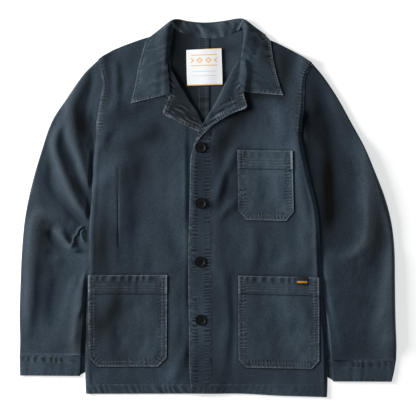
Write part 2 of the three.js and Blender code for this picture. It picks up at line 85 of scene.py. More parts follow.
def softNoise(x, y, sizeX, sizeY, seed):
    # smooth uneven bumps from -1 to 1
    lattice = np.random.RandomState(seed).uniform(-1, 1, (64, 64))
    gx, gy = x / sizeX + 900, y / sizeY + 900
    ix, iy = np.floor(gx).astype(int), np.floor(gy).astype(int)
    fx, fy = gx - ix, gy - iy
    fx, fy = fx * fx * (3 - 2 * fx), fy * fy * (3 - 2 * fy)
    at = lambda i, j: lattice[(iy + j) % 64, (ix + i) % 64]
    top = at(0, 0) * (1 - fx) + at(1, 0) * fx
    low = at(0, 1) * (1 - fx) + at(1, 1) * fx
    return top * (1 - fy) + low * fy


def settle(rise, low, high):
    # cloth gives way softly, so no fold goes past these
    return np.where(rise < 0, low * np.tanh(rise / low), high * np.tanh(rise / high))


def graded(length, step, fine=()):
    # shares from 0 to 1, a step apart, closer at fine places given as (place, half width, step)
    s = np.linspace(0, length, 2000)
    density = np.full(s.shape, 1.0 / step)
    for place, half, small in fine:
        density = np.maximum(density, np.where(abs(s - place) < half, 1.0 / small, 0))
    total = np.concatenate([[0], np.cumsum((density[1:] + density[:-1]) / 2 * np.diff(s))])
    count = max(3, int(round(total[-1])))
    return np.interp(np.linspace(0, total[-1], count + 1), total, s) / length


# the heap of cloth so far is a map of heights
heapCell = 2.0
heapHalf = 430.0
heapSide = int(2 * heapHalf / heapCell) + 1
heap = np.zeros((heapSide, heapSide))


def readHeap(heights, x, y):
    gx = np.clip((x + heapHalf) / heapCell, 0, heapSide - 1.01)
    gy = np.clip((y + heapHalf) / heapCell, 0, heapSide - 1.01)
    ix, iy = gx.astype(int), gy.astype(int)
    fx, fy = gx - ix, gy - iy
    low = heights[iy, ix] * (1 - fx) + heights[iy, ix + 1] * fx
    high = heights[iy + 1, ix] * (1 - fx) + heights[iy + 1, ix + 1] * fx
    return low * (1 - fy) + high * fy


def drape(radius, blur):
    # how cloth lies over the heap: it bridges small steps softly
    n = int(round(radius / heapCell))
    grown = heap.copy()
    for dy in range(-n, n + 1):
        for dx in range(-n, n + 1):
            if dx * dx + dy * dy <= n * n + 0.1:
                grown = np.maximum(grown, np.roll(heap, (dy, dx), (0, 1)))
    reach = int(math.ceil(2.5 * blur / heapCell))
    kernel = np.exp(-0.5 * (np.arange(-reach, reach + 1) * heapCell / blur) ** 2)
    kernel /= kernel.sum()
    for axis in (0, 1):
        grown = np.apply_along_axis(lambda line: np.convolve(line, kernel, "same"), axis, grown)
    return grown


def layOnHeap(x, y, z):
    for i in np.linspace(0, 0.75, 4):
        for j in np.linspace(0, 0.75, 4):
            mix = lambda a: ((a[:-1, :-1] * (1 - i) + a[1:, :-1] * i) * (1 - j)
                             + (a[:-1, 1:] * (1 - i) + a[1:, 1:] * i) * j)
            ix = np.round((mix(x) + heapHalf) / heapCell).astype(int)
            iy = np.round((mix(y) + heapHalf) / heapCell).astype(int)
            np.maximum.at(heap, (iy, ix), mix(z))


# the wear marks carry worn edges and painted highlights; the dye marks carry dark stitch lines and painted shade; tone
# carries painted light and shade, and the cuffs' paler tone
markNames = ("wear_and_highlight", "dye_and_shade", "tone", "rung", "furrow", "turn")


def deselect():
    bpy.ops.object.select_all(action="DESELECT")


def makeSheet(name, x, y, z, thickness, marks=None, looped=False, offset=-1.0):
    # a grid shaped point by point, then given its wall; looped joins its first and last column
    area = np.sum((x[:-1, 1:] - x[:-1, :-1]) * (y[1:, :-1] - y[:-1, :-1])
                  - (x[1:, :-1] - x[:-1, :-1]) * (y[:-1, 1:] - y[:-1, :-1]))
    marks = dict(marks or {})
    if area < 0 and not looped:
        x, y, z = x[:, ::-1], y[:, ::-1], z[:, ::-1]
        marks = {key: value[:, ::-1] for key, value in marks.items()}
    rows, columns = x.shape
    deselect()
    bpy.ops.mesh.primitive_grid_add(x_subdivisions=columns - 1, y_subdivisions=rows - 1, size=1)
    piece = bpy.context.object
    piece.name = name
    piece.data.name = name
    points = np.stack([x, y, z], axis=-1).reshape(-1, 3) * mm
    piece.data.vertices.foreach_set("co", points.ravel())
    # the cloth's own measure, across and along, for its weave
    across = np.concatenate([np.zeros((rows, 1)), np.cumsum(np.hypot(np.diff(x), np.diff(y)), axis=1)], axis=1)
    steps = np.hypot(np.diff(x, axis=0), np.diff(y, axis=0))
    along = np.concatenate([np.zeros((1, columns)), np.cumsum(steps, axis=0)])
    corner = np.empty(len(piece.data.loops), int)
    piece.data.loops.foreach_get("vertex_index", corner)
    grain = np.stack([across, along], axis=-1).reshape(-1, 2)[corner] * mm
    piece.data.uv_layers[0].data.foreach_set("uv", grain.ravel())
    piece.data.uv_layers[0].name = "grain"
    for key in markNames:
        layer = piece.data.attributes.new(key, "FLOAT", "POINT")
        values = marks.get(key, np.zeros(x.shape))
        if key not in ("turn", "tone"):
            values = np.clip(values, 0, 1)
        layer.data.foreach_set("value", values.astype(np.float32).ravel())
    if looped:
        bpy.ops.object.mode_set(mode="EDIT")
        bpy.ops.mesh.select_all(action="SELECT")
        bpy.ops.mesh.remove_doubles(threshold=0.00001)
        bpy.ops.mesh.normals_make_consistent(inside=False)
        bpy.ops.object.mode_set(mode="OBJECT")
        top = max(piece.data.polygons, key=lambda face: face.center.z)
        if top.normal.z < 0:
            piece.data.flip_normals()
    wall = piece.modifiers.new("wall", "SOLIDIFY")
    wall.thickness = thickness * mm
    wall.offset = offset
    wall.use_rim = True
    bpy.ops.object.modifier_apply(modifier=wall.name)
    finished = np.empty(len(piece.data.vertices) * 3)
    piece.data.vertices.foreach_get("co", finished)
    finished[2::3] = np.maximum(finished[2::3], 0.02 * mm)
    piece.data.vertices.foreach_set("co", finished)
    piece.data.update()
    bpy.ops.object.shade_smooth_by_angle(angle=math.radians(50))
    return piece


def declare(piece, node, material):
    piece.data.materials.clear()
    piece.data.materials.append(material)
    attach(piece, "root")
    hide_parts(node)
    sewThread(piece, node)


thread = {"length": 2.4, "width": 0.62, "height": 0.34, "tucked": 0.1, "pitch": 3.3}
seams = []  # the lines to be sewn on the piece in hand: path, distance from it, side (0 for both)


def oneStitch():
    # a fat stitch, square in section, tapering into the cloth at both ends
    deselect()
    bpy.ops.mesh.primitive_cube_add(size=1, location=(0, 0, 0))
    stitch = bpy.context.object
    bpy.ops.object.mode_set(mode="EDIT")
    bpy.ops.mesh.select_all(action="SELECT")
    bpy.ops.mesh.subdivide(number_cuts=1, smoothness=0.0)
    bpy.ops.transform.tosphere(value=0.8)
    bpy.ops.transform.resize(value=(thread["length"] * mm, thread["width"] * mm, thread["height"] * mm))
    bpy.ops.object.mode_set(mode="OBJECT")
    points = np.array([v.co[:] for v in stitch.data.vertices])
    faces = [tuple(f.vertices) for f in stitch.data.polygons]
    bpy.data.objects.remove(stitch, do_unlink=True)
    return points, faces


stitchPoints, stitchFaces = oneStitch()


def sewThread(piece, node):
    # the stitch is copied along each seam, on the cloth it finds below
    points, faces = [], []
    deselect()
    for path, line, side in seams:
        steps = np.hypot(*np.diff(path, axis=0).T)
        total = np.concatenate([[0], np.cumsum(steps)])
        for at in np.arange(1.5, total[-1] - 1, thread["pitch"]):
            here = [np.interp(at, total, path[:, k]) for k in (0, 1)]
            back = [np.interp(at - 0.8, total, path[:, k]) for k in (0, 1)]
            ahead = Vector((here[0] - back[0], here[1] - back[1], 0)).normalized()
            for hand in ((side,) if side else (1, -1)):
                px, py = here[0] - ahead.y * line * hand, here[1] + ahead.x * line * hand
                found, spot, normal, _ = piece.ray_cast(Vector((px * mm, py * mm, 0.1)), Vector((0, 0, -1)))
                if not found or min(nearPath(path, np.array([px]), np.array([py]))[0]) < line - 0.4:
                    continue
                forward = (ahead - normal * ahead.dot(normal)).normalized()
                across = normal.cross(forward)
                spot = spot + normal * thread["tucked"] * mm
                turned = np.array([forward[:], across[:], normal[:]])
                start = len(points) * len(stitchPoints)
                points.append(stitchPoints @ turned + np.array(spot[:]))
                faces += [tuple(i + start for i in face) for face in stitchFaces]
                if line == 0:
                    break
    seams.clear()
    if not points:
        return
    mesh = bpy.data.meshes.new(f"thread_{node}")
    mesh.from_pydata([tuple(p) for p in np.concatenate(points)], [], faces)
    mesh.validate()
    sewn = bpy.data.objects.new(f"thread_{node}", mesh)
    bpy.context.scene.collection.objects.link(sewn)
    mesh.materials.append(threadMaterial)
    for face in mesh.polygons:
        face.use_smooth = True
    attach(sewn, "root")


def ladder(rows, along, across):
    # plan of a piece from rows of outer x, y, inner x, y, and a share of the shoulder's curve
    run = curveThrough([row[:4] for row in rows], along)
    u = np.asarray(across)[None, :]
    x = run[:, 0:1] * (1 - u) + run[:, 2:3] * u
    y = run[:, 1:2] * (1 - u) + run[:, 3:4] * u
    if len(rows[0]) > 4:
        top = rows[-1]
        share = np.clip(curveThrough([[row[4]] for row in rows], along), 0, 1)
        bulge = crest(top[0] + (top[2] - top[0]) * u) - (top[1] + (top[3] - top[1]) * u)
        y = y + share * bulge
    return x, y


def foldRise(folds, x, y):
    # soft ridges and furrows, tapered at their ends
    rise = np.zeros(x.shape)
    for *points, width, height in folds:
        path = curveThrough(np.reshape(points, (-1, 2)), 24)
        away, along, _, length = nearPath(path, x, y)
        before, after = -0.12 * length, 0.22 * length
        taper = smooth(along, before, after) * smooth(length - along, before, after)
        rise += height * np.exp(-(away / width) ** 2) * taper
    return rise


def sew(x, y, z, marks, path, band, pitch, depth, lines, seed, curved=False, side=0, slant=0.05, columns=None,
        rung=0.3, furrow=0.8, rim=0.5, groove=0.3, dark=0.5, dots=0.3, stitched=True):
    # a seam in one piece: puckers that run in from its edge, lines of stitches, and a worn rim; the puckers' crests
    # get a painted highlight and their furrows painted shade
    path = np.array(curveThrough(path, 60) if curved else path, float)
    away, along, hand, _ = nearPath(path, x, y)
    if side:
        away = np.where(hand == side, away, away + 50)
    turn = along / pitch + 0.5 * softNoise(along, away * 0, pitch * 1.9, 1, seed)
    turn += 0.4 * softNoise(along, away * 0, pitch * 6, 1, seed + 1) + slant * away / pitch
    uneven = np.clip(0.62 + 0.8 * softNoise(along, away, pitch * 2.3, band * 1.5, seed + 2), 0.05, 1)
    patchy = np.clip(0.5 + 0.9 * softNoise(along, away, pitch * 1.1, 4, seed + 3), 0, 1)
    inBand = smooth(away, 0, 2) * (1 - smooth(away, band * 0.55, band * 1.15))
    if columns:
        inBand = np.clip(sum(np.exp(-((away - place) / wide) ** 4) for place, wide in columns), 0, 1)
    wave = np.cos(2 * math.pi * turn)
    z += depth * (wave - 1) * 0.5 * uneven * inBand
    mine = away / band < marks["claim"]
    # rung and furrow: painted highlight on the pucker crests, painted shade in their furrows
    for key, value in (("claim", away / band), ("turn", turn), ("rung", rung * uneven * inBand),
                       ("furrow", furrow * uneven * inBand)):
        marks[key] = np.where(mine, value, marks[key])
    for line in lines:
        ridge = np.exp(-((away - line) / 1.1) ** 2)
        z -= groove * ridge
        marks["dye_and_shade"] += dark * ridge * (0.6 - 0.4 * wave)
        marks["wear_and_highlight"] += dots * np.exp(-((away - line) / 1.6) ** 2) * patchy * np.clip(wave, 0, 1)
        if stitched:
            seams.append((path, line, side))
    marks["wear_and_highlight"] += (1 - smooth(away, 1.0, 2.8)) * rim * (0.4 + 0.6 * patchy) * (0.75 + 0.25 * wave)


def newMarks(x):
    marks = {key: np.zeros(x.shape) for key in markNames}
    marks["claim"] = np.full(x.shape, 1e6)
    return marks


def shade(marks, x, y, path, width, amount):
    # painted shade along a path: darker where a piece's edge or a slit shades the cloth
    away, _, _, _ = nearPath(path, x, y)
    marks["dye_and_shade"] += amount * np.exp(-(away / width) ** 2)


def addFadeAndPaintedLight(marks, x, y, patches):
    # soft zones of painted light where the amount is above 0 and of painted shade where it is below 0, with some
    # uneven fading from washing in them
    for atX, atY, long, short, turned, amount in patches:
        c, s = math.cos(math.radians(turned)), math.sin(math.radians(turned))
        u, v = (x - atX) * c + (y - atY) * s, (y - atY) * c - (x - atX) * s
        marks["tone"] += amount * np.exp(-(u / long) ** 2 - (v / short) ** 2)


def slitHole(x, y, z, marks, path):
    # a worked buttonhole: painted shade in the middle of its slit, thread round it
    away, _, _, _ = nearPath(path, x, y)
    z += 0.35 * np.exp(-((away - 2.2) / 0.9) ** 2) - 1.1 * np.exp(-(away / 1.1) ** 2)
    marks["dye_and_shade"] += 1.8 * np.exp(-(away / 1.5) ** 2)
    marks["wear_and_highlight"] += 0.3 * np.exp(-((away - 2.3) / 0.8) ** 2)


def addGroup(name, inputs, outputs):
    group = bpy.data.node_groups.new(name, "ShaderNodeTree")
    for socketName, kind, value in inputs:
        socket = group.interface.new_socket(name=socketName, in_out="INPUT", socket_type=kind)
        if value is not None:
            socket.default_value = value
    for socketName, kind in outputs:
        group.interface.new_socket(name=socketName, in_out="OUTPUT", socket_type=kind)
    return group, group.nodes.new("NodeGroupInput"), group.nodes.new("NodeGroupOutput")


def mathNode(tree, operation, first, second=0.0, *more):
    # one node, or a row of them for more than two values
    node = tree.nodes.new("ShaderNodeMath")
    node.operation = operation
    for socket, value in zip(node.inputs, (first, second)):
        if isinstance(value, (int, float)):
            socket.default_value = value
        else:
            tree.links.new(value, socket)
    return mathNode(tree, operation, node.outputs[0], *more) if more else node.outputs[0]


def sums(tree):
    return partial(mathNode, tree, "ADD"), partial(mathNode, tree, "MULTIPLY")


def noiseNode(tree, vector, scale, detail=2.0, roughness=0.5):
    node = tree.nodes.new("ShaderNodeTexNoise")
    node.inputs["Scale"].default_value = scale
    node.inputs["Detail"].default_value = detail
    node.inputs["Roughness"].default_value = roughness
    tree.links.new(vector, node.inputs["Vector"])
    return node.outputs["Fac"]


def mixColour(tree, factor, first, second):
    node = tree.nodes.new("ShaderNodeMix")
    node.data_type = "RGBA"
    for name, value in (("Factor", factor), ("A", first), ("B", second)):
        if isinstance(value, (tuple, int, float)):
            node.inputs[name].default_value = value
        else:
            tree.links.new(value, node.inputs[name])
    return node.outputs["Result"]


def ramp(tree, value, low, high):
    node = tree.nodes.new("ShaderNodeMapRange")
    node.interpolation_type = "SMOOTHSTEP"
    node.inputs["From Min"].default_value = low
    node.inputs["From Max"].default_value = high
    tree.links.new(value, node.inputs["Value"])
    return node.outputs["Result"]


def linear(red, green, blue):
    # a picture colour, 0 to 255, as the renderer counts it
    channel = lambda c: c / 12.92 if c <= 0.04045 else ((c + 0.055) / 1.055) ** 2.4
    return (channel(red / 255), channel(green / 255), channel(blue / 255), 1.0)


def bumpNode(tree, height, strength, distance, under=None):
    node = tree.nodes.new("ShaderNodeBump")
    node.inputs["Strength"].default_value = strength
    node.inputs["Distance"].default_value = distance
    tree.links.new(height, node.inputs["Height"])
    if under is not None:
        tree.links.new(under, node.inputs["Normal"])
    return node.outputs["Normal"]


def newMaterial(name, roughness, specular=0.5):
    material = bpy.data.materials.new(name)
    material.use_nodes = True
    shader = material.node_tree.nodes["Principled BSDF"]
    shader.inputs["Roughness"].default_value = roughness
    shader.inputs["Specular IOR Level"].default_value = specular
    return material, material.node_tree, shader


def objectPlace(tree):
    return tree.nodes.new("ShaderNodeTexCoord").outputs["Object"]


def grainPlace(tree):
    # metres across and along the cloth, from its lower left corner
    node = tree.nodes.new("ShaderNodeUVMap")
    node.uv_map = "grain"
    return node.outputs["UV"]


def splitPlace(tree, vector):
    node = tree.nodes.new("ShaderNodeSeparateXYZ")
    tree.links.new(vector, node.inputs[0])
    return node.outputs[0], node.outputs[1]


def twillGroup():
    # fine diagonal ribs with a brushed nap over them
    group, inside, outside = addGroup(
        "twill", [("Grain", "NodeSocketVector", None), ("Ribs per metre", "NodeSocketFloat", 900.0)],
        [("Height", "NodeSocketFloat")])
    plus, times = sums(group)
    across, up = splitPlace(group, inside.outputs["Grain"])
    diagonal = plus(across, times(up, 0.62))
    rib = mathNode(group, "SINE", times(diagonal, inside.outputs["Ribs per metre"], 2 * math.pi))
    warp = mathNode(group, "SINE", times(up, 2 * math.pi * 1500))
    nap = noiseNode(group, inside.outputs["Grain"], 1400.0, 3.0, 0.6)
    group.links.new(plus(times(rib, 0.35), times(warp, 0.12), times(nap, 1.2)), outside.inputs["Height"])
    return group


def ladderGroup():
    # rungs and furrows of puckered seams, from the count of puckers along the seam: the rungs come out paler as worn
    # crests with a painted highlight, the furrows darker as painted shade
    group, inside, outside = addGroup(
        "puckeredSeam",
        [("Turn", "NodeSocketFloat", 0.0), ("Rung", "NodeSocketFloat", 0.0), ("Furrow", "NodeSocketFloat", 0.0),
         ("Place", "NodeSocketVector", None)],
        [("Wear_and_highlight", "NodeSocketFloat"), ("Dye_and_shade", "NodeSocketFloat"), ("Height", "NodeSocketFloat")])
    plus, times = sums(group)
    wobble = times(noiseNode(group, inside.outputs["Place"], 300.0), 0.5)
    wave = mathNode(group, "COSINE", times(plus(inside.outputs["Turn"], wobble), 2 * math.pi))
    light = times(ramp(group, wave, 0.25, 0.95), inside.outputs["Rung"])
    dark = times(ramp(group, times(wave, -1.0), 0.0, 0.8), inside.outputs["Furrow"])
    group.links.new(light, outside.inputs["Wear_and_highlight"])
    group.links.new(dark, outside.inputs["Dye_and_shade"])
    group.links.new(mathNode(group, "SUBTRACT", light, dark), outside.inputs["Height"])
    return group


def fadeGroup():
    # garment dye: slow clouds, a fine mottle, pale wear on raised edges and painted highlights on crests, painted
    # shade in the hollows, and tone that scales it all as painted light and shade
    group, inside, outside = addGroup(
        "garmentFade",
        [("Place", "NodeSocketVector", None), ("Wear_and_highlight", "NodeSocketFloat", 0.0), ("Dye_and_shade", "NodeSocketFloat", 0.0),
         ("Tone", "NodeSocketFloat", 0.0), ("Cloth", "NodeSocketColor", None), ("Faded", "NodeSocketColor", None),
         ("Worn_and_lit", "NodeSocketColor", None), ("Deep", "NodeSocketColor", None)],
        [("Color", "NodeSocketColor")])
    plus, times = sums(group)
    place = inside.outputs["Place"]
    cloud = ramp(group, noiseNode(group, place, 7.0, 3.0, 0.55), 0.35, 0.68)
    mottle = ramp(group, noiseNode(group, place, 260.0, 4.0, 0.65), 0.3, 0.75)
    soft = plus(times(cloud, 0.5), times(mottle, 0.62), -0.04)
    washed = mixColour(group, soft, inside.outputs["Cloth"], inside.outputs["Faded"])
    # tone scales the colour up as painted light and down as painted shade
    lift = group.nodes.new("ShaderNodeVectorMath")
    lift.operation = "SCALE"
    group.links.new(washed, lift.inputs[0])
    group.links.new(plus(inside.outputs["Tone"], 1.0), lift.inputs["Scale"])
    # the darkest colour comes in as painted shade in the hollows and for the dark stitch lines
    hollowShadeAndDye = mathNode(group, "MINIMUM", times(inside.outputs["Dye_and_shade"], 0.8), 0.9)
    shadedAndDyed = mixColour(group, hollowShadeAndDye, lift.outputs[0], inside.outputs["Deep"])
    broken = ramp(group, noiseNode(group, place, 420.0, 3.0, 0.7), 0.28, 0.66)
    # worn edges and painted highlights go towards the palest colour
    worn = mathNode(group, "MINIMUM", times(inside.outputs["Wear_and_highlight"], plus(broken, 0.25)), 1.0)
    group.links.new(mixColour(group, worn, shadedAndDyed, inside.outputs["Worn_and_lit"]), outside.inputs["Color"])
    return group


twill, puckeredSeam, garmentFade = twillGroup(), ladderGroup(), fadeGroup()


def clothMaterial(name, colours, sheen=0.25):
    material, tree, shader = newMaterial(name, 0.92, 0.18)
    shader.inputs["Sheen Weight"].default_value = sheen
    shader.inputs["Sheen Roughness"].default_value = 0.45
    shader.inputs["Sheen Tint"].default_value = linear(150, 170, 182)
    place = objectPlace(tree)
    fadeAndPaintedLight, pucker, weave = [tree.nodes.new("ShaderNodeGroup") for _ in range(3)]
    fadeAndPaintedLight.node_tree, pucker.node_tree, weave.node_tree = garmentFade, puckeredSeam, twill
    value = {}
    for key in markNames:
        attribute = tree.nodes.new("ShaderNodeAttribute")
        attribute.attribute_name = key
        value[key] = attribute.outputs["Fac"]
    tree.links.new(place, fadeAndPaintedLight.inputs["Place"])
    tree.links.new(place, pucker.inputs["Place"])
    for socket in ("Turn", "Rung", "Furrow"):
        tree.links.new(value[socket.lower()], pucker.inputs[socket])
    for socket in ("Wear_and_highlight", "Dye_and_shade"):
        tree.links.new(mathNode(tree, "ADD", value[socket.lower()], pucker.outputs[socket]), fadeAndPaintedLight.inputs[socket])
    tree.links.new(value["tone"], fadeAndPaintedLight.inputs["Tone"])
    for socket, colour in colours.items():
        fadeAndPaintedLight.inputs[socket].default_value = linear(*colour)
    tree.links.new(fadeAndPaintedLight.outputs["Color"], shader.inputs["Base Color"])
    weave.inputs["Ribs per metre"].default_value = 900.0
    tree.links.new(grainPlace(tree), weave.inputs["Grain"])
    relief = bumpNode(tree, weave.outputs["Height"], 0.5, 0.0002)
    tree.links.new(bumpNode(tree, pucker.outputs["Height"], 0.8, 0.0006, relief), shader.inputs["Normal"])
    return material


def threadCloth():
    material, tree, shader = newMaterial("sewingThread", 0.75)
    patchy = ramp(tree, noiseNode(tree, objectPlace(tree), 130.0, 3.0, 0.7), 0.35, 0.7)
    tree.links.new(mixColour(tree, patchy, linear(40, 49, 57), linear(88, 101, 110)), shader.inputs["Base Color"])
    return material


slate = {"Cloth": (35, 45, 55), "Faded": (54, 66, 77), "Worn_and_lit": (112, 126, 136), "Deep": (15, 19, 24)}
# a paler copy of the same cloth for the pockets, collar and lapels: painted light
litSlate = {"Cloth": (40, 51, 61), "Faded": (60, 72, 82), "Worn_and_lit": (128, 141, 150), "Deep": (15, 19, 24)}
insideSlate = {"Cloth": (38, 47, 55), "Faded": (50, 60, 69), "Worn_and_lit": (96, 106, 114), "Deep": (14, 17, 21)}
bodyCloth = clothMaterial("bodyCloth", slate)
pocketCloth = clothMaterial("pocketCloth", litSlate)
facingCloth = clothMaterial("facingCloth", litSlate)
innerCloth = clothMaterial("innerCloth", insideSlate, sheen=0.1)
threadMaterial = threadCloth()
print("materials done")

shoulder = {
    "away": [71, 109, 143, 176, 200, 219, 231],
    "right": [374, 364, 353.4, 341.5, 331.5, 320.5, 311.5],
    "left": [374, 361, 347.6, 331, 318, 304.5, 302],
    "neck": 71, "top": 374, "dip": 17,  # the neck point, and the back neck's dip below it
}


def crest(x):
    # how far up the cloth reaches, from one shoulder's end to the other
    away = np.abs(x)
    slope = np.where(x < 0, np.interp(away, shoulder["away"], shoulder["right"]),
                     np.interp(away, shoulder["away"], shoulder["left"]))
    neck = shoulder["neck"]
    return np.where(away < neck, shoulder["top"] - shoulder["dip"] * (1 - (away / neck) ** 2), slope)


# hem to shoulder: outer x, y, inner x, y, share of the shoulder's curve
frontRightRows = [
    [-256, -390.5, 6, -390, 0], [-257, -371, 6, -371, 0], [-258, -330, 6, -330, 0], [-256, -246, 6, -246, 0],
    [-251, -139, 6, -139, 0], [-249, -44, 6, -44, 0], [-244, 29, 6, 29, 0], [-240, 101, 6, 97, 0],
    [-236, 143, 2, 136, 0], [-232, 181, -14, 183, 0], [-224, 229, -38, 224, 0.05], [-219, 260, -60, 260, 0.2],
    [-223, 280, -76, 289, 0.5], [-227, 295, -77, 330, 0.8], [-231, 310, -71, 374, 1],
]
frontLeftRows = [
    [250, -397.5, -36, -389.5, 0], [251, -376, -37, -371, 0], [251, -335, -39, -330, 0], [248, -262, -40, -256, 0],
    [238, -176, -41, -172, 0], [235, -78, -41, -78, 0], [230, -7, -39, 0, 0], [214, 61, -38, 63, 0],
    [201, 120, -36, 109, 0], [195, 153, -24, 149, 0], [196, 184, -8, 181, 0], [199, 212, 7, 209, 0.05],
    [200, 237, 22, 235, 0.2], [201, 265, 44, 279, 0.5], [208, 284, 68, 321, 0.8], [219, 302, 71, 374, 1],
]
bodyLength = 760.0
tuckTop = 175.0  # below this the sleeves lie under the body's sides
sleevePress = 3.4  # how high a sleeve is where the body lies on it


def bodyLift(x, y):
    # the back's underside: up on the collar's leaf at the neck, and on the sleeves at the sides
    neck = 2.3 * smooth(y, 262, 296) * (1 - smooth(abs(x), 140, 170))
    rampEnd = np.where(x < 0, 205.0, 184.0)
    side = 3.8 * smooth(-y, -tuckTop - 30, -tuckTop) * smooth(y, -235, -195) * smooth(abs(x), rampEnd - 40, rampEnd)
    return np.maximum(neck, side)


sideEdge = {-1: curveThrough([row[:2] for row in frontRightRows], 200),
            1: curveThrough([row[:2] for row in frontLeftRows], 200)}


def hemRise(x, y):
    # the left front's hem hangs a little higher in its middle
    return 2.3 * np.exp(-((x - 72) / 52) ** 2) * (1 - smooth(y, -390, -330))


def outsideBody(x, y):
    right = np.interp(y, sideEdge[-1][:, 1], sideEdge[-1][:, 0])
    left = np.interp(y, sideEdge[1][:, 1], sideEdge[1][:, 0])
    return np.where(x < 0, right - x, x - left)


armholes = {
    "right": [[-231, 309], [-227, 290], [-221, 272], [-219, 257], [-223, 231], [-229, 204], [-232, 181], [-235, 155]],
    "left": [[219, 302], [208, 284], [202, 266], [200, 237], [199, 212], [196, 184], [195, 158]],
}


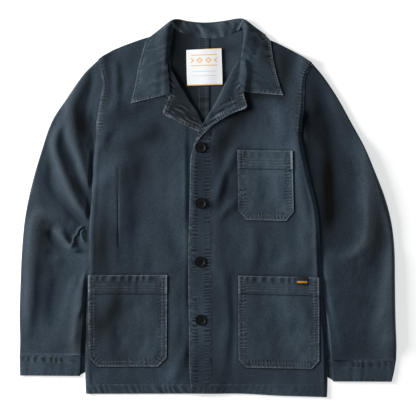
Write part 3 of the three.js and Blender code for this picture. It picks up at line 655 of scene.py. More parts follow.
sleeves = {
    "full": 8.5, "give": [5.1, 10.5],  # how high a sleeve lies, and how far its folds go down and up
    "right": {
        "rows": [[-232, 309, -235, 122], [-262, 279, -236, 92], [-295, 231.5, -227, 61], [-327.6, 180.6, -219, 25],
                 [-351, 113, -216, -13], [-370, 46, -220, -50], [-383.6, -21, -227, -86], [-390, -88, -237, -124],
                 [-393, -155, -250, -170], [-395, -223, -261, -229], [-394, -277, -266, -281],
                 [-395, -312.5, -267, -313.5]],
        "bow": [17, 8, 2, 0, 0, 0, 0, 0, 0, 0, 0, 0],
        "elbow": 350, "wider": [0.8, 1.1], "outerRound": 3.2,
        "seam": 10.0, "fall": 30.0,  # the armhole seam stands up, and the sleeve falls away from it
        "cuff": [[-395.4, -309, -267, -310], [-395, -331, -267, -332.5], [-394.6, -352, -269.5, -353]],
        "folds": [
            [-378, -255, -374, -179, -361, -28, -307, -20, 14, 8.0],
            [-257, 28, -284, 153, -287, 218, -260, 271, 14, 8.0],
            [-255, -18, -282, 23, -321, 125, -306, 184, 10, 8.0],
            [-323, -236, -306, -153, -259, -104, -266, -59, 15, -7.3],
            [-350, -382, -288, -321, -274, -267, -264, -156, 14, 6.7],
            [-228, -65, -307, 22, -326, 58, -330, 88, 8, -7.0],
            [-243, 130, -236, 144, -238, 177, -229, 234, 8, -8.0],
            [-272, -162, -268, -112, -320, -95, -332, -94, 7, -3.6],
            [-200, -34, -256, 36, -276, 84, -295, 135, 10, -8.0],
            [-275, -99, -297, -97, -326, -59, -328, -43, 7, -5.5],
            [-245, 123, -253, 200, -253, 203, -234, 313, 9, -1.8],
            [-220, -181, -243, -128, -294, -81, -348, -48, 20, -1.6],
            [-184, -99, -276, -88, -306, -61, -336, -39, 8, 5.0],
            [-247, -25, -288, -10, -318, 17, -348, 87, 10, -1.6],
            [-302, -256, -183, -93, -328, -130, -326, -60, 21, -2.3],
            [-302, -170, -294, -90, -296, -74, -229, -2, 11, -1.6],
            [-348, -144, -353, -41, -365, 42, -350, 71, 19, 3.0],
            [-252, -38, -263, -40, -271, -46, -275, -55, -281, -61, -283, -73, -288, -82, 2.8, 3.2],
            [-254, -41, -264, -44, -270, -50, -270, -59, 1.8, -3.5],
            [-258, -44, -264, -47, -266, -55, -262, -67, -256, -73, 3.6, 3],
            [-254, -46, -252, -62, 2.6, -5], [-273, -66, -270, -79, 4.5, -3.5],
            [-311, -40, -300, -63, -289, -80, -283, -88, 8, 3],
        ],
        "fadeAndPaintedLight": [
            [-260, -104, 70, 20, 90, 0.5], [-356, -56, 70, 20, 90, -0.42], [-272, 184, 70, 20, 90, -0.42],
            [-332, -272, 70, 20, 60, 0.3], [-284, 52, 40, 14, 120, -0.33], [-392, -284, 40, 14, 120, 0.34],
            [-260, 170, 32, 12, 100, -0.35], [-302, 190, 30, 16, 60, -0.28],
            [-372, -10, 55, 14, 95, -0.28], [-272, -290, 40, 8, 90, -0.7], [-272, 172, 40, 14, 90, -0.38],
            [-344, -44, 70, 20, 90, -0.28], [-260, -56, 70, 20, 60, 0.24], [-296, 124, 22, 9, 120, 0.25],
            [-368, -116, 40, 14, 90, -0.22], [-284, 40, 40, 14, 120, -0.22],
        ],
    },
    "left": {
        "rows": [[220, 301, 195.5, 137], [245, 270, 197, 101], [273, 227, 195, 63], [302, 174, 197, 25],
                 [328, 126, 202, -13], [349, 76, 208, -50], [370, 21, 216, -84], [384, -34, 225, -113],
                 [390, -92, 234, -145], [391, -160, 243, -185], [392, -231, 251, -235], [394, -288, 257, -290],
                 [393, -325.5, 260, -322.5]],
        "bow": [18, 6, 0, 0, 0, 0, 0, 0, 0, 0, 0, 0, 0],
        "elbow": 395, "wider": [2.1, 1.1], "outerRound": 9.0,
        "seam": 12.5, "fall": 62.0,
        "cuff": [[394.4, -321.5, 259, -319], [390.6, -344, 260, -343], [385.6, -365, 263.5, -364.5]],
        "folds": [
            [381, -324, 399, -207, 401, -136, 391, -98, 20, 8.0],
            [311, -106, 326, -98, 347, -42, 333, 168, 21, 8.0],
            [378, -246, 399, -177, 401, -68, 343, 91, 19, 7.9],
            [291, -103, 317, -88, 339, -59, 344, 39, 11, 8.0],
            [283, 43, 269, 128, 256, 187, 214, 275, 15, -5.6],
            [271, -300, 254, -238, 239, -162, 230, -64, 7, -8.0],
            [185, -102, 272, -50, 282, -30, 289, 97, 23, -8.0],
            [352, -284, 364, -228, 404, -239, 391, -105, 13, 3.6],
            [348, -320, 383, -275, 373, -200, 385, -127, 16, 4.0],
            [370, -329, 395, -274, 389, -227, 405, -118, 8, 8.0],
            [309, -26, 263, -1, 232, 48, 155, 17, 26, -4.4],
            [313, 54, 243, 72, 214, 119, 163, 108, 19, -4.7],
            [303, -85, 266, -40, 284, 84, 274, 128, 25, -7.9],
            [216, 29, 302, 27, 267, 105, 237, 142, 16, -1.1],
            [390, -268, 391, -194, 383, -116, 375, -74, 16, 2.1],
            [322, -82, 309, -12, 277, 77, 297, 98, 13, 1.2],
            [327, -32, 303, 13, 271, 73, 247, 118, 16, -2.6],
            [314, -66, 305, -16, 293, 51, 284, 102, 16, -2.1],
            [271, -44, 274, -52, 273, -69, 267, -77, 258, -83, 2, -5.5],
            [274, -44, 278, -53, 277, -70, 2.6, 3], [239, -65, 250, -73, 256, -82, 2.4, 3.4],
            [235, -71, 252, -80, 2.8, -5], [262, -67, 258, -46, 265, -36, 281, -31, 304, -33, 5, 2.6],
            [300, -42, 298, -62, 8, -2.4],
        ],
        "fadeAndPaintedLight": [
            [251, -236, 70, 20, 90, 0.5], [251, 64, 70, 20, 90, -0.42], [227, 172, 70, 20, 90, -0.42],
            [347, -44, 70, 20, 90, -0.73], [239, -128, 40, 14, 90, 0.48], [251, -20, 45, 45, 0, -0.34],
            [311, 16, 40, 14, 90, 0.33], [251, -272, 70, 20, 120, 0.3], [251, -92, 22, 9, 150, 0.28],
            [255, 55, 115, 12, 91, -0.35], [207, 178, 34, 7, 90, -0.5], [251, -312, 34, 10, 90, -0.5],
            [251, 52, 70, 20, 90, -0.38], [239, -176, 70, 20, 90, 0.45], [227, 172, 45, 45, 0, -0.29],
            [263, -8, 70, 20, 60, -0.26], [311, -116, 70, 20, 30, -0.19], [263, -272, 22, 9, 90, 0.24],
            [239, -104, 22, 9, 30, 0.22], [215, 40, 70, 20, 90, -0.24],
        ],
    },
}


def sleeveTop(side, x, y):
    shape = sleeves[side]
    away = outsideBody(x, y)
    atSide = (1 - smooth(y, tuckTop + 5, tuckTop + 35)) * smooth(y, -245, -205)
    nearBody = shape["seam"] * (1 - atSide) + sleevePress * atSide
    rise = 1.45 * foldRise(shape["folds"], x, y) + 0.5 * softNoise(x, y, 26, 60, 21)
    rise = rise + 0.35 * softNoise(x, y, 12, 22, 22) + 0.16 * softNoise(x, y, 5, 8, 23)
    full = sleeves["full"] + settle(rise, *sleeves["give"])
    cuffTop = -shape["cuff"][0][1]
    atCuff = smooth(-y, cuffTop - 48, cuffTop - 5)
    full = full * (1 - 0.85 * atCuff) + 6.0 * 0.85 * atCuff
    release = smooth(away, 1.0, shape["fall"] * (1 - atSide) + 11 * atSide)
    return nearBody + (full - nearBody) * release


def tubeGrid(rows, bow, wider, length, topHeight, step, alongFine=(), acrossFine=(), tucked=0.0,
             outerRound=foldRound):
    # rings of a flattened tube: over the top from the outer fold to the inner one, back beneath
    width = float(np.mean([math.hypot(r[2] - r[0], r[3] - r[1]) for r in rows]))
    over = graded(width, step, [(0, 8, 0.8), (width, 8, 0.8), *acrossFine])
    under = 1 - graded(width, 7.0, [(0, 6, 1.2), (width, 6, 1.2)])
    along = graded(length, step * 1.1, alongFine)
    run = curveThrough([row[:4] for row in rows], along)
    reach = run[:, 0:2] - run[:, 2:4]
    reach = reach / np.hypot(reach[:, 0], reach[:, 1])[:, None]
    run = np.hstack([run[:, 0:2] + wider[0] * reach, run[:, 2:4] - wider[1] * reach])
    lean = curveThrough([[b] for b in bow], along)
    end = smooth(np.asarray(along)[:, None] * length, length - tucked - 4, length - tucked) * (tucked > 0)
    u = np.concatenate([over, under])[None, :] + 0 * end
    u = u * (1 - end) + np.clip(u, 2.4 / width, 1 - 2.4 / width) * end
    x = run[:, 0:1] * (1 - u) + run[:, 2:3] * u
    y = run[:, 1:2] * (1 - u) + run[:, 3:4] * u
    outward = np.sign(run[:, 2:3])
    x = x - outward * lean * np.sin(math.pi * np.clip(u, 0, 1) ** 0.6)
    gap = np.maximum(0, 0.3 - outsideBody(x, y)) * smooth(y, tuckTop - 14, tuckTop - 12)
    x = x + outward * gap
    height = topHeight(x, y) * (1 - end) + 4.0 * end
    roundAt = foldRound + (outerRound - foldRound) * (1 - smooth(run[:, 1:2], 0, 120))
    fromFold = np.minimum(u * width / roundAt, (1 - u) * width / foldRound)
    roundness = np.sqrt(np.clip(1 - (1 - np.clip(fromFold, 0, 1)) ** 2, 0, 1))
    isTop = np.concatenate([np.ones(len(over)), np.zeros(len(under))])[None, :]
    fold = np.minimum(height, 5.5) / 2
    bottom = 0.05 + 1.65 * end
    z = np.where(isTop > 0, fold + (height - fold) * roundness, bottom + (fold - bottom) * (1 - roundness))
    inner = run[:, 2:4]
    showing = np.clip(outsideBody(inner[:, 0], inner[:, 1]) + 1.2, 0, 9) * smooth(-inner[:, 1], 150, 165)
    showing = (showing + 3.2 * smooth(showing, 0, 2)) / 0.84
    if not tucked:  # a cuff's corner stands free of the body
        showing = showing * (1 - smooth(np.asarray(along) * length, 33, 43))
    x = x - outward * showing[:, None] * np.where(isTop > 0, 0, 1) * smooth(u, 0.9, 1.0) * roundness
    return x, y, z, len(over)


def makeSleeve(side):
    shape = sleeves[side]
    elbow = shape["elbow"]
    x, y, z, _ = tubeGrid(shape["rows"], shape["bow"], shape["wider"], 640, lambda a, b: sleeveTop(side, a, b), 3.2,
                          [(elbow, 62, 1.9), (elbow, 34, 1.1), (640, 10, 1.2)], [(112, 60, 1.9), (112, 34, 1.1)],
                          tucked=3.5, outerRound=shape["outerRound"])
    marks = newMarks(x)
    # fold crests painted paler: a painted highlight
    marks["wear_and_highlight"] += 0.16 * np.clip(foldRise(shape["folds"], x, y) / 6, 0, 1)
    addFadeAndPaintedLight(marks, x, y, shape["fadeAndPaintedLight"])
    tuck = -shape["cuff"][0][1]
    # the groove at the cuff's joint painted lighter: painted light
    marks["tone"] += 0.9 * smooth(-y, tuck - 5, tuck - 1)
    piece = makeSheet(f"sleeve_{side}_cloth", x, y, z, 1.1, marks, looped=True)
    declare(piece, f"sleeve_{side}", bodyCloth)
    layOnHeap(x, y, np.where(outsideBody(x, y) < 2.5, z, 0))


def makeCuff(side):
    shape = sleeves[side]["cuff"]
    height = lambda a, b: 5.3 + 0.3 * softNoise(a, b, 14, 30, 31) + 0.55 * softNoise(a, b, 8, 70, 33)
    x, y, z, topCount = tubeGrid(shape, [0, 0, 0], [0.4, 0.6], 43, height, 1.7, [(43, 3, 0.8)])
    upper = np.zeros(x.shape)
    upper[:, :topCount] = 1
    rise = np.zeros(x.shape)
    marks = newMarks(x)
    joint, edge = [np.reshape(row, (2, 2)) for row in (shape[0], shape[-1])]
    sew(x, y, rise, marks, joint, 14, 16, 0.8, [1.5, 15], 41, rung=0.16, furrow=1.1, rim=0.7,
        columns=[(8.5, 6.5)])
    sew(x, y, rise, marks, edge, 5, 11, 0.25, [], 43, rim=0.22, rung=0.1)
    z += rise * upper
    marks = {key: value * upper if key != "turn" else value for key, value in marks.items()}
    marks["tone"] = marks["tone"] + 0.28 + 0.25 * softNoise(x, y, 26, 40, 35)
    piece = makeSheet(f"cuff_{side}_cloth", x, y, z, 1.2, marks, looped=True)
    declare(piece, f"cuff_{side}", bodyCloth)


for side in ("right", "left"):
    makeSleeve(side)
    makeCuff(side)
print("sleeves laid")

backs = {
    "centre": {"right": 2.4, "left": -1.0},  # the right one laps over the left one
    "fadeAndPaintedLight": [
        [48, 334, 16, 8, 20, -0.4], [4, 345, 14, 5, 0, 0.4], [-36, 234, 22, 9, 120, 0.4],
        [44, 290, 70, 20, 30, 0.36], [-60, 314, 40, 14, 90, -0.24], [44, 338, 22, 9, 150, -0.2],
    ],
}


def makeBack(side):
    rows = frontRightRows if side == "right" else frontLeftRows
    centre = backs["centre"][side]
    top = float(crest(np.array(centre)))
    plan = []
    for i, (x0, y0, x1, y1, curved) in enumerate(rows):
        level = y0 + (y1 - y0) * (centre - x0) / (x1 - x0) if curved == 0 else y0 + (top - y0) * curved * 0.8
        trim = 1.5 if i == 0 else 0
        plan.append([x0, y0 + trim, centre, top if i == len(rows) - 1 else level + trim, curved])
    along = graded(bodyLength, 9, [(0, 25, 3), (690, 150, 2.5)])
    across = graded(250, 7.0, [(0, 12, 3), (250, 30, 1.8)])
    x, y = ladder(plan, along, across)
    if side == "left":
        y = y + hemRise(x, y)
    z = bodyLift(x, y) + 0.1 + cloth
    marks = newMarks(x)
    if side == "right":  # the felled centre seam lies to this side
        inStrip = smooth(x, -20, -18.5)
        z += 0.7 * inStrip + 1.1 * smooth(x, -6, -1.6)
        sew(x, y, z, marks, [[-17.5, -380], [-17.5, 354]], 4, 6, 0.2, [0], 11, rim=0.0, dots=0.1, rung=0.05)
        # puckers of the felled strip in colour only: painted shade in their hollows, painted highlight on their crests
        ladderRow = np.sin(y / 0.95 + 1.5 * softNoise(x, y, 30, 9, 12))
        marks["dye_and_shade"] += 0.55 * inStrip * np.clip(-ladderRow, 0, 1)
        marks["wear_and_highlight"] += 0.06 * inStrip * np.clip(ladderRow, 0, 1)
        # painted shadow of the collar's roll on the inside of the back, and painted shade inside the neck on that side
        shade(marks, x, y, [[-66, 385], [-64, 330], [-56, 280], [-30, 230]], 28, 0.85)
        marks["tone"] -= 0.4 * (1 - smooth(x, -42, -14)) * smooth(y, 225, 265)
    else:
        # a dark strip beside the centre seam is painted shade under the right back's lapped edge; the tone lifts the
        # back away from the collar's shadow as painted light
        marks["dye_and_shade"] += 0.9 * (1 - smooth(x, 2.2, 5.5))
        marks["tone"] += 0.3 * smooth(x, 15, 45) + 0.3 * smooth(x, 32, 50) * smooth(y, 200, 250)
    addFadeAndPaintedLight(marks, x, y, backs["fadeAndPaintedLight"])
    layOnHeap(x, y, z)
    piece = makeSheet(f"back_{side}_cloth", x, y, z, cloth, marks)
    declare(piece, f"back_{side}", innerCloth)


makeBack("right")
makeBack("left")
print("backs laid")

label = {
    "rows": [[-43.7, 257, 30.5, 259], [-45.0, 294, 29.4, 297], [-45.6, 331.8, 28.1, 335.8]],
    "thickness": 0.5,
    # its pattern, in metres from the lower left corner
    "edges": [0.0022, 0.0752], "bars": [[0.0625, 0.0645], [0.0405, 0.0425]],
    "rules": [[0.0285, 0.0293], [0.0195, 0.0203]],
    "diamonds": {"wide": 0.0185, "high": 0.0155, "middle": 0.0525},
}


def labelMaterial():
    material, tree, shader = newMaterial("labelWeave", 0.8)
    plus, times = sums(tree)
    grain = grainPlace(tree)
    across, up = splitPlace(tree, grain)
    over = partial(mathNode, tree, "GREATER_THAN")
    under = partial(mathNode, tree, "LESS_THAN")
    between = lambda value, low, high: times(over(value, low), under(value, high))
    edges = plus(under(up, label["edges"][0]), over(up, label["edges"][1]))
    # a row of plain diamonds between two bars
    diamond = label["diamonds"]
    repeat = mathNode(tree, "FRACT", times(across, 1 / diamond["wide"]))
    column = mathNode(tree, "ABSOLUTE", plus(repeat, -0.5))
    row = times(mathNode(tree, "ABSOLUTE", plus(up, -diamond["middle"])), 1 / diamond["high"])
    fromMiddle = plus(column, row)
    inWidth = between(across, 0.009, 0.0645)
    motif = times(under(fromMiddle, 0.42), over(fromMiddle, 0.2), inWidth)
    bars = times(plus(*[between(up, *bar) for bar in label["bars"]]), inWidth)
    ochre = mathNode(tree, "MINIMUM", plus(edges, motif, bars), 1.0)
    grey = times(plus(*[between(up, *rule) for rule in label["rules"]]), between(across, 0.012, 0.0615))
    paper = mixColour(tree, noiseNode(tree, grain, 1500.0), linear(238, 240, 244), linear(249, 251, 254))
    ruled = mixColour(tree, times(grey, 0.55), paper, linear(120, 120, 124))
    tree.links.new(mixColour(tree, times(ochre, 0.8), ruled, linear(240, 176, 66)), shader.inputs["Base Color"])
    tree.links.new(bumpNode(tree, noiseNode(tree, grain, 2600.0, 1.0), 0.4, 0.0001), shader.inputs["Normal"])
    return material


def makeLabel():
    x, y = ladder(label["rows"], graded(78, 1.5), graded(74, 1.5))
    z = readHeap(drape(14, 9), x, y) + air + label["thickness"] + 0.2 * softNoise(x, y, 16, 22, 5)
    z = z + 0.045 * (x + 46)
    layOnHeap(x, y, z)
    piece = makeSheet("neck_label_woven", x, y, z, label["thickness"])
    declare(piece, "neck_label", labelMaterial())


makeLabel()

button = {"radius": 11.4, "height": 2.5, "hole": 1.15, "spacing": 2.5,
          "turning": [[1.6, 0.0], [1.2, -1.1], [3.5, 0.3]],  # each inset, and how far its middle moves
          "places": [[-16, 127], [-15.5, 10], [-17, -113], [-15.5, -235]]}

# corners: top left, top right, low left, low right
pockets = {
    "pocket_lower_right": {
        "corners": [[-252, -141], [-86, -141], [-250, -333], [-87, -333]], "cut": [18, 19], "band": 39,
        "seed": 101, "paintedLightAndShade": -0.16, "bar": 0.6,
        "fadeAndPaintedLight": [
            [-115, -269, 70, 20, 90, 0.5], [-151, -209, 40, 14, 90, 0.37], [-211, -233, 70, 20, 60, -0.34],
            [-223, -317, 22, 9, 60, 0.26], [-197, -215, 60, 14, 90, -0.25], [-115, -281, 70, 20, 60, 0.37],
            [-235, -233, 70, 20, 120, -0.31], [-187, -185, 40, 14, 90, -0.24],
            [-187, -329, 40, 14, 90, -0.2],
        ]},
    "pocket_lower_left": {
        "corners": [[63, -142], [233, -146], [64, -335], [233.5, -338]], "cut": [15, 17], "band": 38,
        "seed": 111, "paintedLightAndShade": 0.04, "bar": 0.6,
        "fadeAndPaintedLight": [
            [188, -247, 70, 20, 120, 0.5], [200, -319, 70, 20, 120, 0.32], [212, -235, 22, 9, 120, 0.31],
            [92, -187, 45, 45, 0, -0.28], [166, -215, 60, 9, 92, 0.35], [212, -283, 40, 14, 90, 0.37],
            [164, -223, 40, 14, 90, 0.35], [164, -319, 22, 9, 30, 0.23], [200, -235, 40, 14, 90, 0.2],
        ]},
    "pocket_chest": {
        "corners": [[62, 122], [177, 120], [64, -25], [180, -27]], "cut": [16, 19], "band": 39,
        "seed": 121, "paintedLightAndShade": 0.25, "bar": 1.3,
        "fadeAndPaintedLight": [
            [154, 36, 70, 20, 120, 0.5], [170, 68, 40, 14, 150, 0.29], [154, -4, 22, 9, 120, 0.29],
            [114, -20, 24, 24, 0, -0.26], [162, 44, 70, 20, 90, 0.44], [66, 12, 22, 9, 90, 0.17],
            [122, 12, 40, 14, 120, -0.19], [90, 20, 22, 9, 120, -0.21],
        ]},
}


def pocketOutline(shape):
    # its sewn edge, from the top left corner down and round to the top right one
    topLeft, topRight, lowLeft, lowRight = [np.array(c, float) for c in shape["corners"]]
    cutX, cutY = shape["cut"]
    return [topLeft, lowLeft + [0, cutY], lowLeft + [cutX, 0], lowRight + [-cutX, 0], lowRight + [0, cutY],
            topRight]


fronts = {
    "right": {
        "rows": frontRightRows, "width": 262, "fine": [(0, 22, 1.8), (63, 6, 0.9)], "step": 2.9, "area": 0.185,
        "hem": [[-256, -390.5], [6, -390]], "seed": 0, "innerSlack": 42,
        "folds": [
            [-195, 315, -191, 269, -191, 227, 9, 2.4], [-191, 233, -200, 195, -210, 164, -227, 122, 13, 3],
            [-236, 196, -170, 176, -104, 148, 19, 4.2], [-228, 150, -180, 142, -120, 118, 15, -2.4],
            [-186, 112, -190, 40, -186, -60, 24, 4.2], [-130, 104, -124, 20, -128, -70, 22, -3],
            [-62, 150, -56, 60, -58, -30, 22, 3.4], [-96, -60, -84, -110, -92, -150, 20, 2],
            [-46, -288, -60, -325, -76, -372, 12, 2.4], [-215, 90, -222, 0, -226, -90, 12, 1.4],
            [-238, -20, -200, -60, -196, -128, 14, 2], [-70, -150, -66, -230, -72, -330, 13, 1.8],
        ],
        "fadeAndPaintedLight": [
            [-75, -351, 45, 45, 0, 0.5], [-63, -75, 70, 20, 90, 0.5], [-51, -231, 70, 20, 90, 0.5],
            [-39, 81, 70, 20, 90, 0.5], [-219, -87, 70, 20, 90, -0.42], [-135, 81, 45, 45, 0, -0.37],
            [-243, -375, 40, 14, 60, 0.82], [-183, 237, 40, 14, 60, 0.48], [-147, -63, 70, 20, 60, 0.34],
            [-150, 140, 52, 13, 25, -0.35], [-155, 176, 55, 9, 33, 0.3], [-150, 208, 60, 9, 28, -0.28],
            [-48, 35, 88, 6, 90, 0.85], [-213, 275, 40, 6, 92, -0.5], [-194, 270, 36, 6, 90, 0.3],
            [-109, 92, 60, 12, 90, 0.15], [-111, -375, 70, 20, 30, 0.38], [-231, -75, 70, 20, 90, -0.32],
            [-39, 45, 70, 20, 90, 0.4], [-195, 225, 22, 9, 60, 0.42], [-219, 69, 40, 14, 30, 0.38],
            [-51, -219, 40, 14, 60, 0.36], [-123, 141, 70, 20, 60, -0.26], [-159, 321, 40, 14, 60, -0.29],
        ],
        "paintedShadows": [[[row[2:4] for row in frontLeftRows[:10]], 2.6, 0.7]],
    },
    "left": {
        "rows": frontLeftRows, "width": 288, "fine": [(0, 22, 1.8), (244, 9, 1.6), (286, 10, 1.3)], "step": 2.8,
        "area": 0.19, "hem": [[250, -397.5], [170, -394.6], [75, -390.2], [-36, -389.5]], "seed": 1,
        "innerSlack": 14,
        "folds": [
            [60, 128, 36, 68, 20, 20, 10, 3.4], [44, 84, 34, 30, 28, -6, 8, -2],
            [64, 17, 45, 2, 25, -18, 9, 2.4], [190, 206, 190, 122, 196, 38, 204, -25, 12, 3.4],
            [88, 214, 96, 180, 92, 146, 16, -2.6], [146, 212, 156, 180, 168, 140, 20, 2.6],
            [92, -40, 96, -90, 84, -136, 16, 2.4], [134, -38, 150, -80, 146, -130, 14, -2],
            [196, -40, 206, -90, 204, -135, 14, 2.6], [34, -120, 42, -220, 36, -330, 13, 2.2],
            [50, -150, 54, -240, 50, -330, 9, -1.4], [225, -60, 232, -140, 240, -220, 8, 1.5],
        ],
        "fadeAndPaintedLight": [
            [45, 158, 70, 20, 60, -0.8], [177, 134, 70, 20, 120, 0.5], [213, -46, 70, 20, 90, 0.42],
            [-15, -214, 70, 20, 90, 0.47], [93, -394, 70, 20, 0, 0.5], [165, 290, 40, 14, 90, -0.42],
            [57, -238, 70, 20, 90, 0.41], [177, 74, 70, 20, 120, 0.48], [141, 218, 40, 14, 120, 0.45],
            [206, -25, 110, 9, 96, 0.35], [209, -20, 60, 6, 95, 0.4], [194, 280, 34, 8, 90, 0.4],
            [43, -190, 90, 5, 90, 0.3], [168, 45, 45, 8, 90, 0.3], [140, 165, 50, 28, 100, 0.25],
            [165, 170, 70, 20, 120, 0.39], [-15, 14, 40, 14, 90, 0.45], [153, 314, 70, 20, 90, -0.38],
            [-27, -214, 70, 20, 90, 0.35], [201, 254, 40, 14, 90, 0.41], [165, -106, 40, 14, 30, 0.37],
            [165, -394, 45, 45, 0, 0.3], [129, 122, 70, 20, 150, 0.35],
        ],
        "paintedShadows": [[[[148, 240], [110, 238], [86, 236], [88, 208], [60, 190]], 13, 0.85],
                      [[[100, 237], [86, 236], [85, 214]], 6, 0.9]],
    },
}
weltPath = [[-191, 86], [-189, 0], [-187.5, -82]]  # a narrow line on the right front
facingPath = [[7, -388], [6.5, -250], [7.5, -100], [7, 20], [7.5, 122], [9, 150]]


def makeFront(side):
    shape = fronts[side]
    rows, width, odd = shape["rows"], shape["width"], shape["seed"]
    onTop = side == "left"
    across = graded(width, shape["step"], shape["fine"])
    x, y = ladder(rows, graded(bodyLength, 2.8, [(0, 24, 1.6)]), across)
    if onTop:
        y = y + hemRise(x, y)
    inward = np.asarray(across)[None, :] + 0 * x
    lap = 2.0 * smooth(y, tuckTop - 25, tuckTop - 5) * smooth(-y, -306, -290) * (1 - inward) ** 8
    x = x + np.sign(rows[0][0]) * lap
    below = readHeap(drape(24, 10), x, y)
    fromSide, toInner, fromHem = inward * width, (1 - inward) * width, y + 390
    slack = smooth(fromSide, 0, 9) * smooth(toInner, 0, shape["innerSlack"]) * smooth(fromHem, 0, 45)
    slack = slack * (1 - 0.75 * smooth(y, 300, 350))
    wander = 1.2 * softNoise(x + 0.3 * y, y, 42, 90, 51 + odd) + 0.7 * softNoise(x, y, 17, 30, 53 + odd)
    wander = wander + 0.16 * softNoise(x, y, 5, 8, 57 + odd)
    loose = (2.4 + settle(1.5 * foldRise(shape["folds"], x, y) + wander, 2.3, 7.1)) * slack
    loose = loose + 1.5 * np.exp(-((fromSide - 7) / 6) ** 2) * smooth(fromSide, 0, 6) * smooth(-y, -150, -60)
    if not onTop:
        loose = loose * (1 - 0.75 * smooth(x, -49, -39))
    thickness = cloth + (1.1 * (1 - smooth(x, 4, 9)) if onTop else 0)
    z = below + air + thickness + loose
    z += 0.9 * (1 - smooth(fromHem, 17, 19.5))
    z += 0.8 * (1 - smooth(fromHem, 10, 34)) * softNoise(x + 0.7 * y, y, 15, 60, 60)
    marks = newMarks(x)
    sew(x, y, z, marks, shape["hem"], 19, 14, 0.5, [19], 61 + odd, slant=0.5, groove=0.5, rung=0.16, furrow=0.45,
        rim=0.22)
    armhole = [[px + (-1.5 if px < 0 else 1.5), py] for px, py in armholes[side]]
    sew(x, y, z, marks, armhole, 17, 6.3, 0.4, [3, 9.5], 63 + odd, curved=True, groove=0.4,
        rung=0.15 + 0.07 * odd, furrow=0.9, rim=0.5, dots=0.45 + 0.15 * odd)
    if onTop:
        sew(x, y, z, marks, [row[2:4] for row in rows[:10]], 22, 7.2, 0.45, [4.4], 71, curved=True, rim=1.0,
            rung=0.14, furrow=1.2, dark=1.3, dots=0.5, columns=[(13, 6)])
        # a dark slit beside each button: painted shade in its buttonhole
        for bx, by in button["places"]:
            shade(marks, x, y, [[bx - 15.5, by], [bx - 10, by]], 1.9, 1.2)
        sew(x, y, z, marks, facingPath, 20, 7.2, 0.45, [0.6], 73, curved=True, side=1, rim=0.25, rung=0.13,
            furrow=1.1, groove=0.5, dark=1.0, dots=0.5, columns=[(8, 6)])
    else:
        sew(x, y, z, marks, weltPath, 2.5, 9, 0.15, [0], 75, curved=True, rim=0.0, dark=1.0, groove=1.2,
            dots=0.0, rung=0.0, stitched=False)
        # the inside pocket's opening: painted shade in the slit and a painted highlight on its right lip
        slit = x + 189.2 - 0.021 * y
        inSlit = smooth(y, -84, -80) * smooth(-y, -88, -84)
        marks["dye_and_shade"] += 1.2 * np.exp(-(slit / 0.9) ** 2) * inSlit
        marks["wear_and_highlight"] += 0.16 * np.exp(-((slit - 2.4) / 1.3) ** 2) * inSlit
    # paler along the body's side, a painted highlight on its folded edge; painted shadow round the pockets, and
    # painted shade beside the placket and under the lapel
    away, along, _, _ = nearPath([row[:2] for row in rows[:10]], x, y)
    patchy = np.clip(0.6 + 0.6 * softNoise(along, y, 24, 60, 78), 0, 1)
    marks["wear_and_highlight"] += 0.3 * (1 - smooth(away, 1.5, 3.5)) * patchy
    for pocket in pockets.values():
        outline = pocketOutline(pocket)
        shade(marks, x, y, outline + outline[:1], 2.6, 0.95)
    for path, wide, amount in shape["paintedShadows"]:
        shade(marks, x, y, path, wide, amount)
    addFadeAndPaintedLight(marks, x, y, shape["fadeAndPaintedLight"])
    layOnHeap(x, y, z)
    piece = makeSheet(f"front_{side}_cloth", x, y, z, cloth, marks)
    declare(piece, f"front_{side}", bodyCloth)


makeFront("right")
makeFront("left")
print("fronts laid")

lapels = {
    "right": {
        "rows": [[-80.5, 296, -90, 292], [-67, 272, -91, 262], [-58, 255, -90, 238], [-51, 245, -94, 199],
                 [-38, 223, -67, 184], [-24, 203, -43, 172], [-12, 176, -21, 161]],
        "edge": [[-77, 241], [-94, 199], [-67, 184], [-43, 172], [-21, 161]],
        "length": 150, "lift": 1.5, "lean": 0.75, "darkening": 0.45, "rollWear": 0, "paintedLightAndShade": -0.48, "area": 0.0058,
        "fadeAndPaintedLight": [
            [-28, 188, 24, 11, 130, -0.4], [-84, 205, 16, 8, 60, -0.35], [-60, 244, 20, 12, 120, -0.2],
            [-33, 201, 22, 9, 60, 0.21], [-89, 241, 22, 9, 60, 0.19],
        ],
    },
    "left": {
        "rows": [[65, 311, 78, 305], [53, 294, 80, 280], [43, 275, 78, 258], [32, 254, 75.5, 238],
                 [27, 243, 81, 212], [14, 218, 56, 201], [1, 197, 26, 185], [-13, 172, -1, 164],
                 [-28, 142, -23, 140]],
        "edge": [[73, 241], [81, 212], [56, 201], [26, 185], [-1, 164], [-23, 141]],
        "length": 200, "lift": 5.0, "lean": -0.55, "darkening": 0.25, "rollWear": 0.22, "paintedLightAndShade": 0.25, "area": 0.0068,
        "fadeAndPaintedLight": [
            [71, 234, 14, 9, 90, -0.5], [79, 228, 12, 5, 95, -0.8], [52, 270, 40, 6, 65, 0.35],
            [71, 221, 40, 14, 30, -0.35], [47, 285, 40, 14, 90, 0.42],
        ],
    },
}


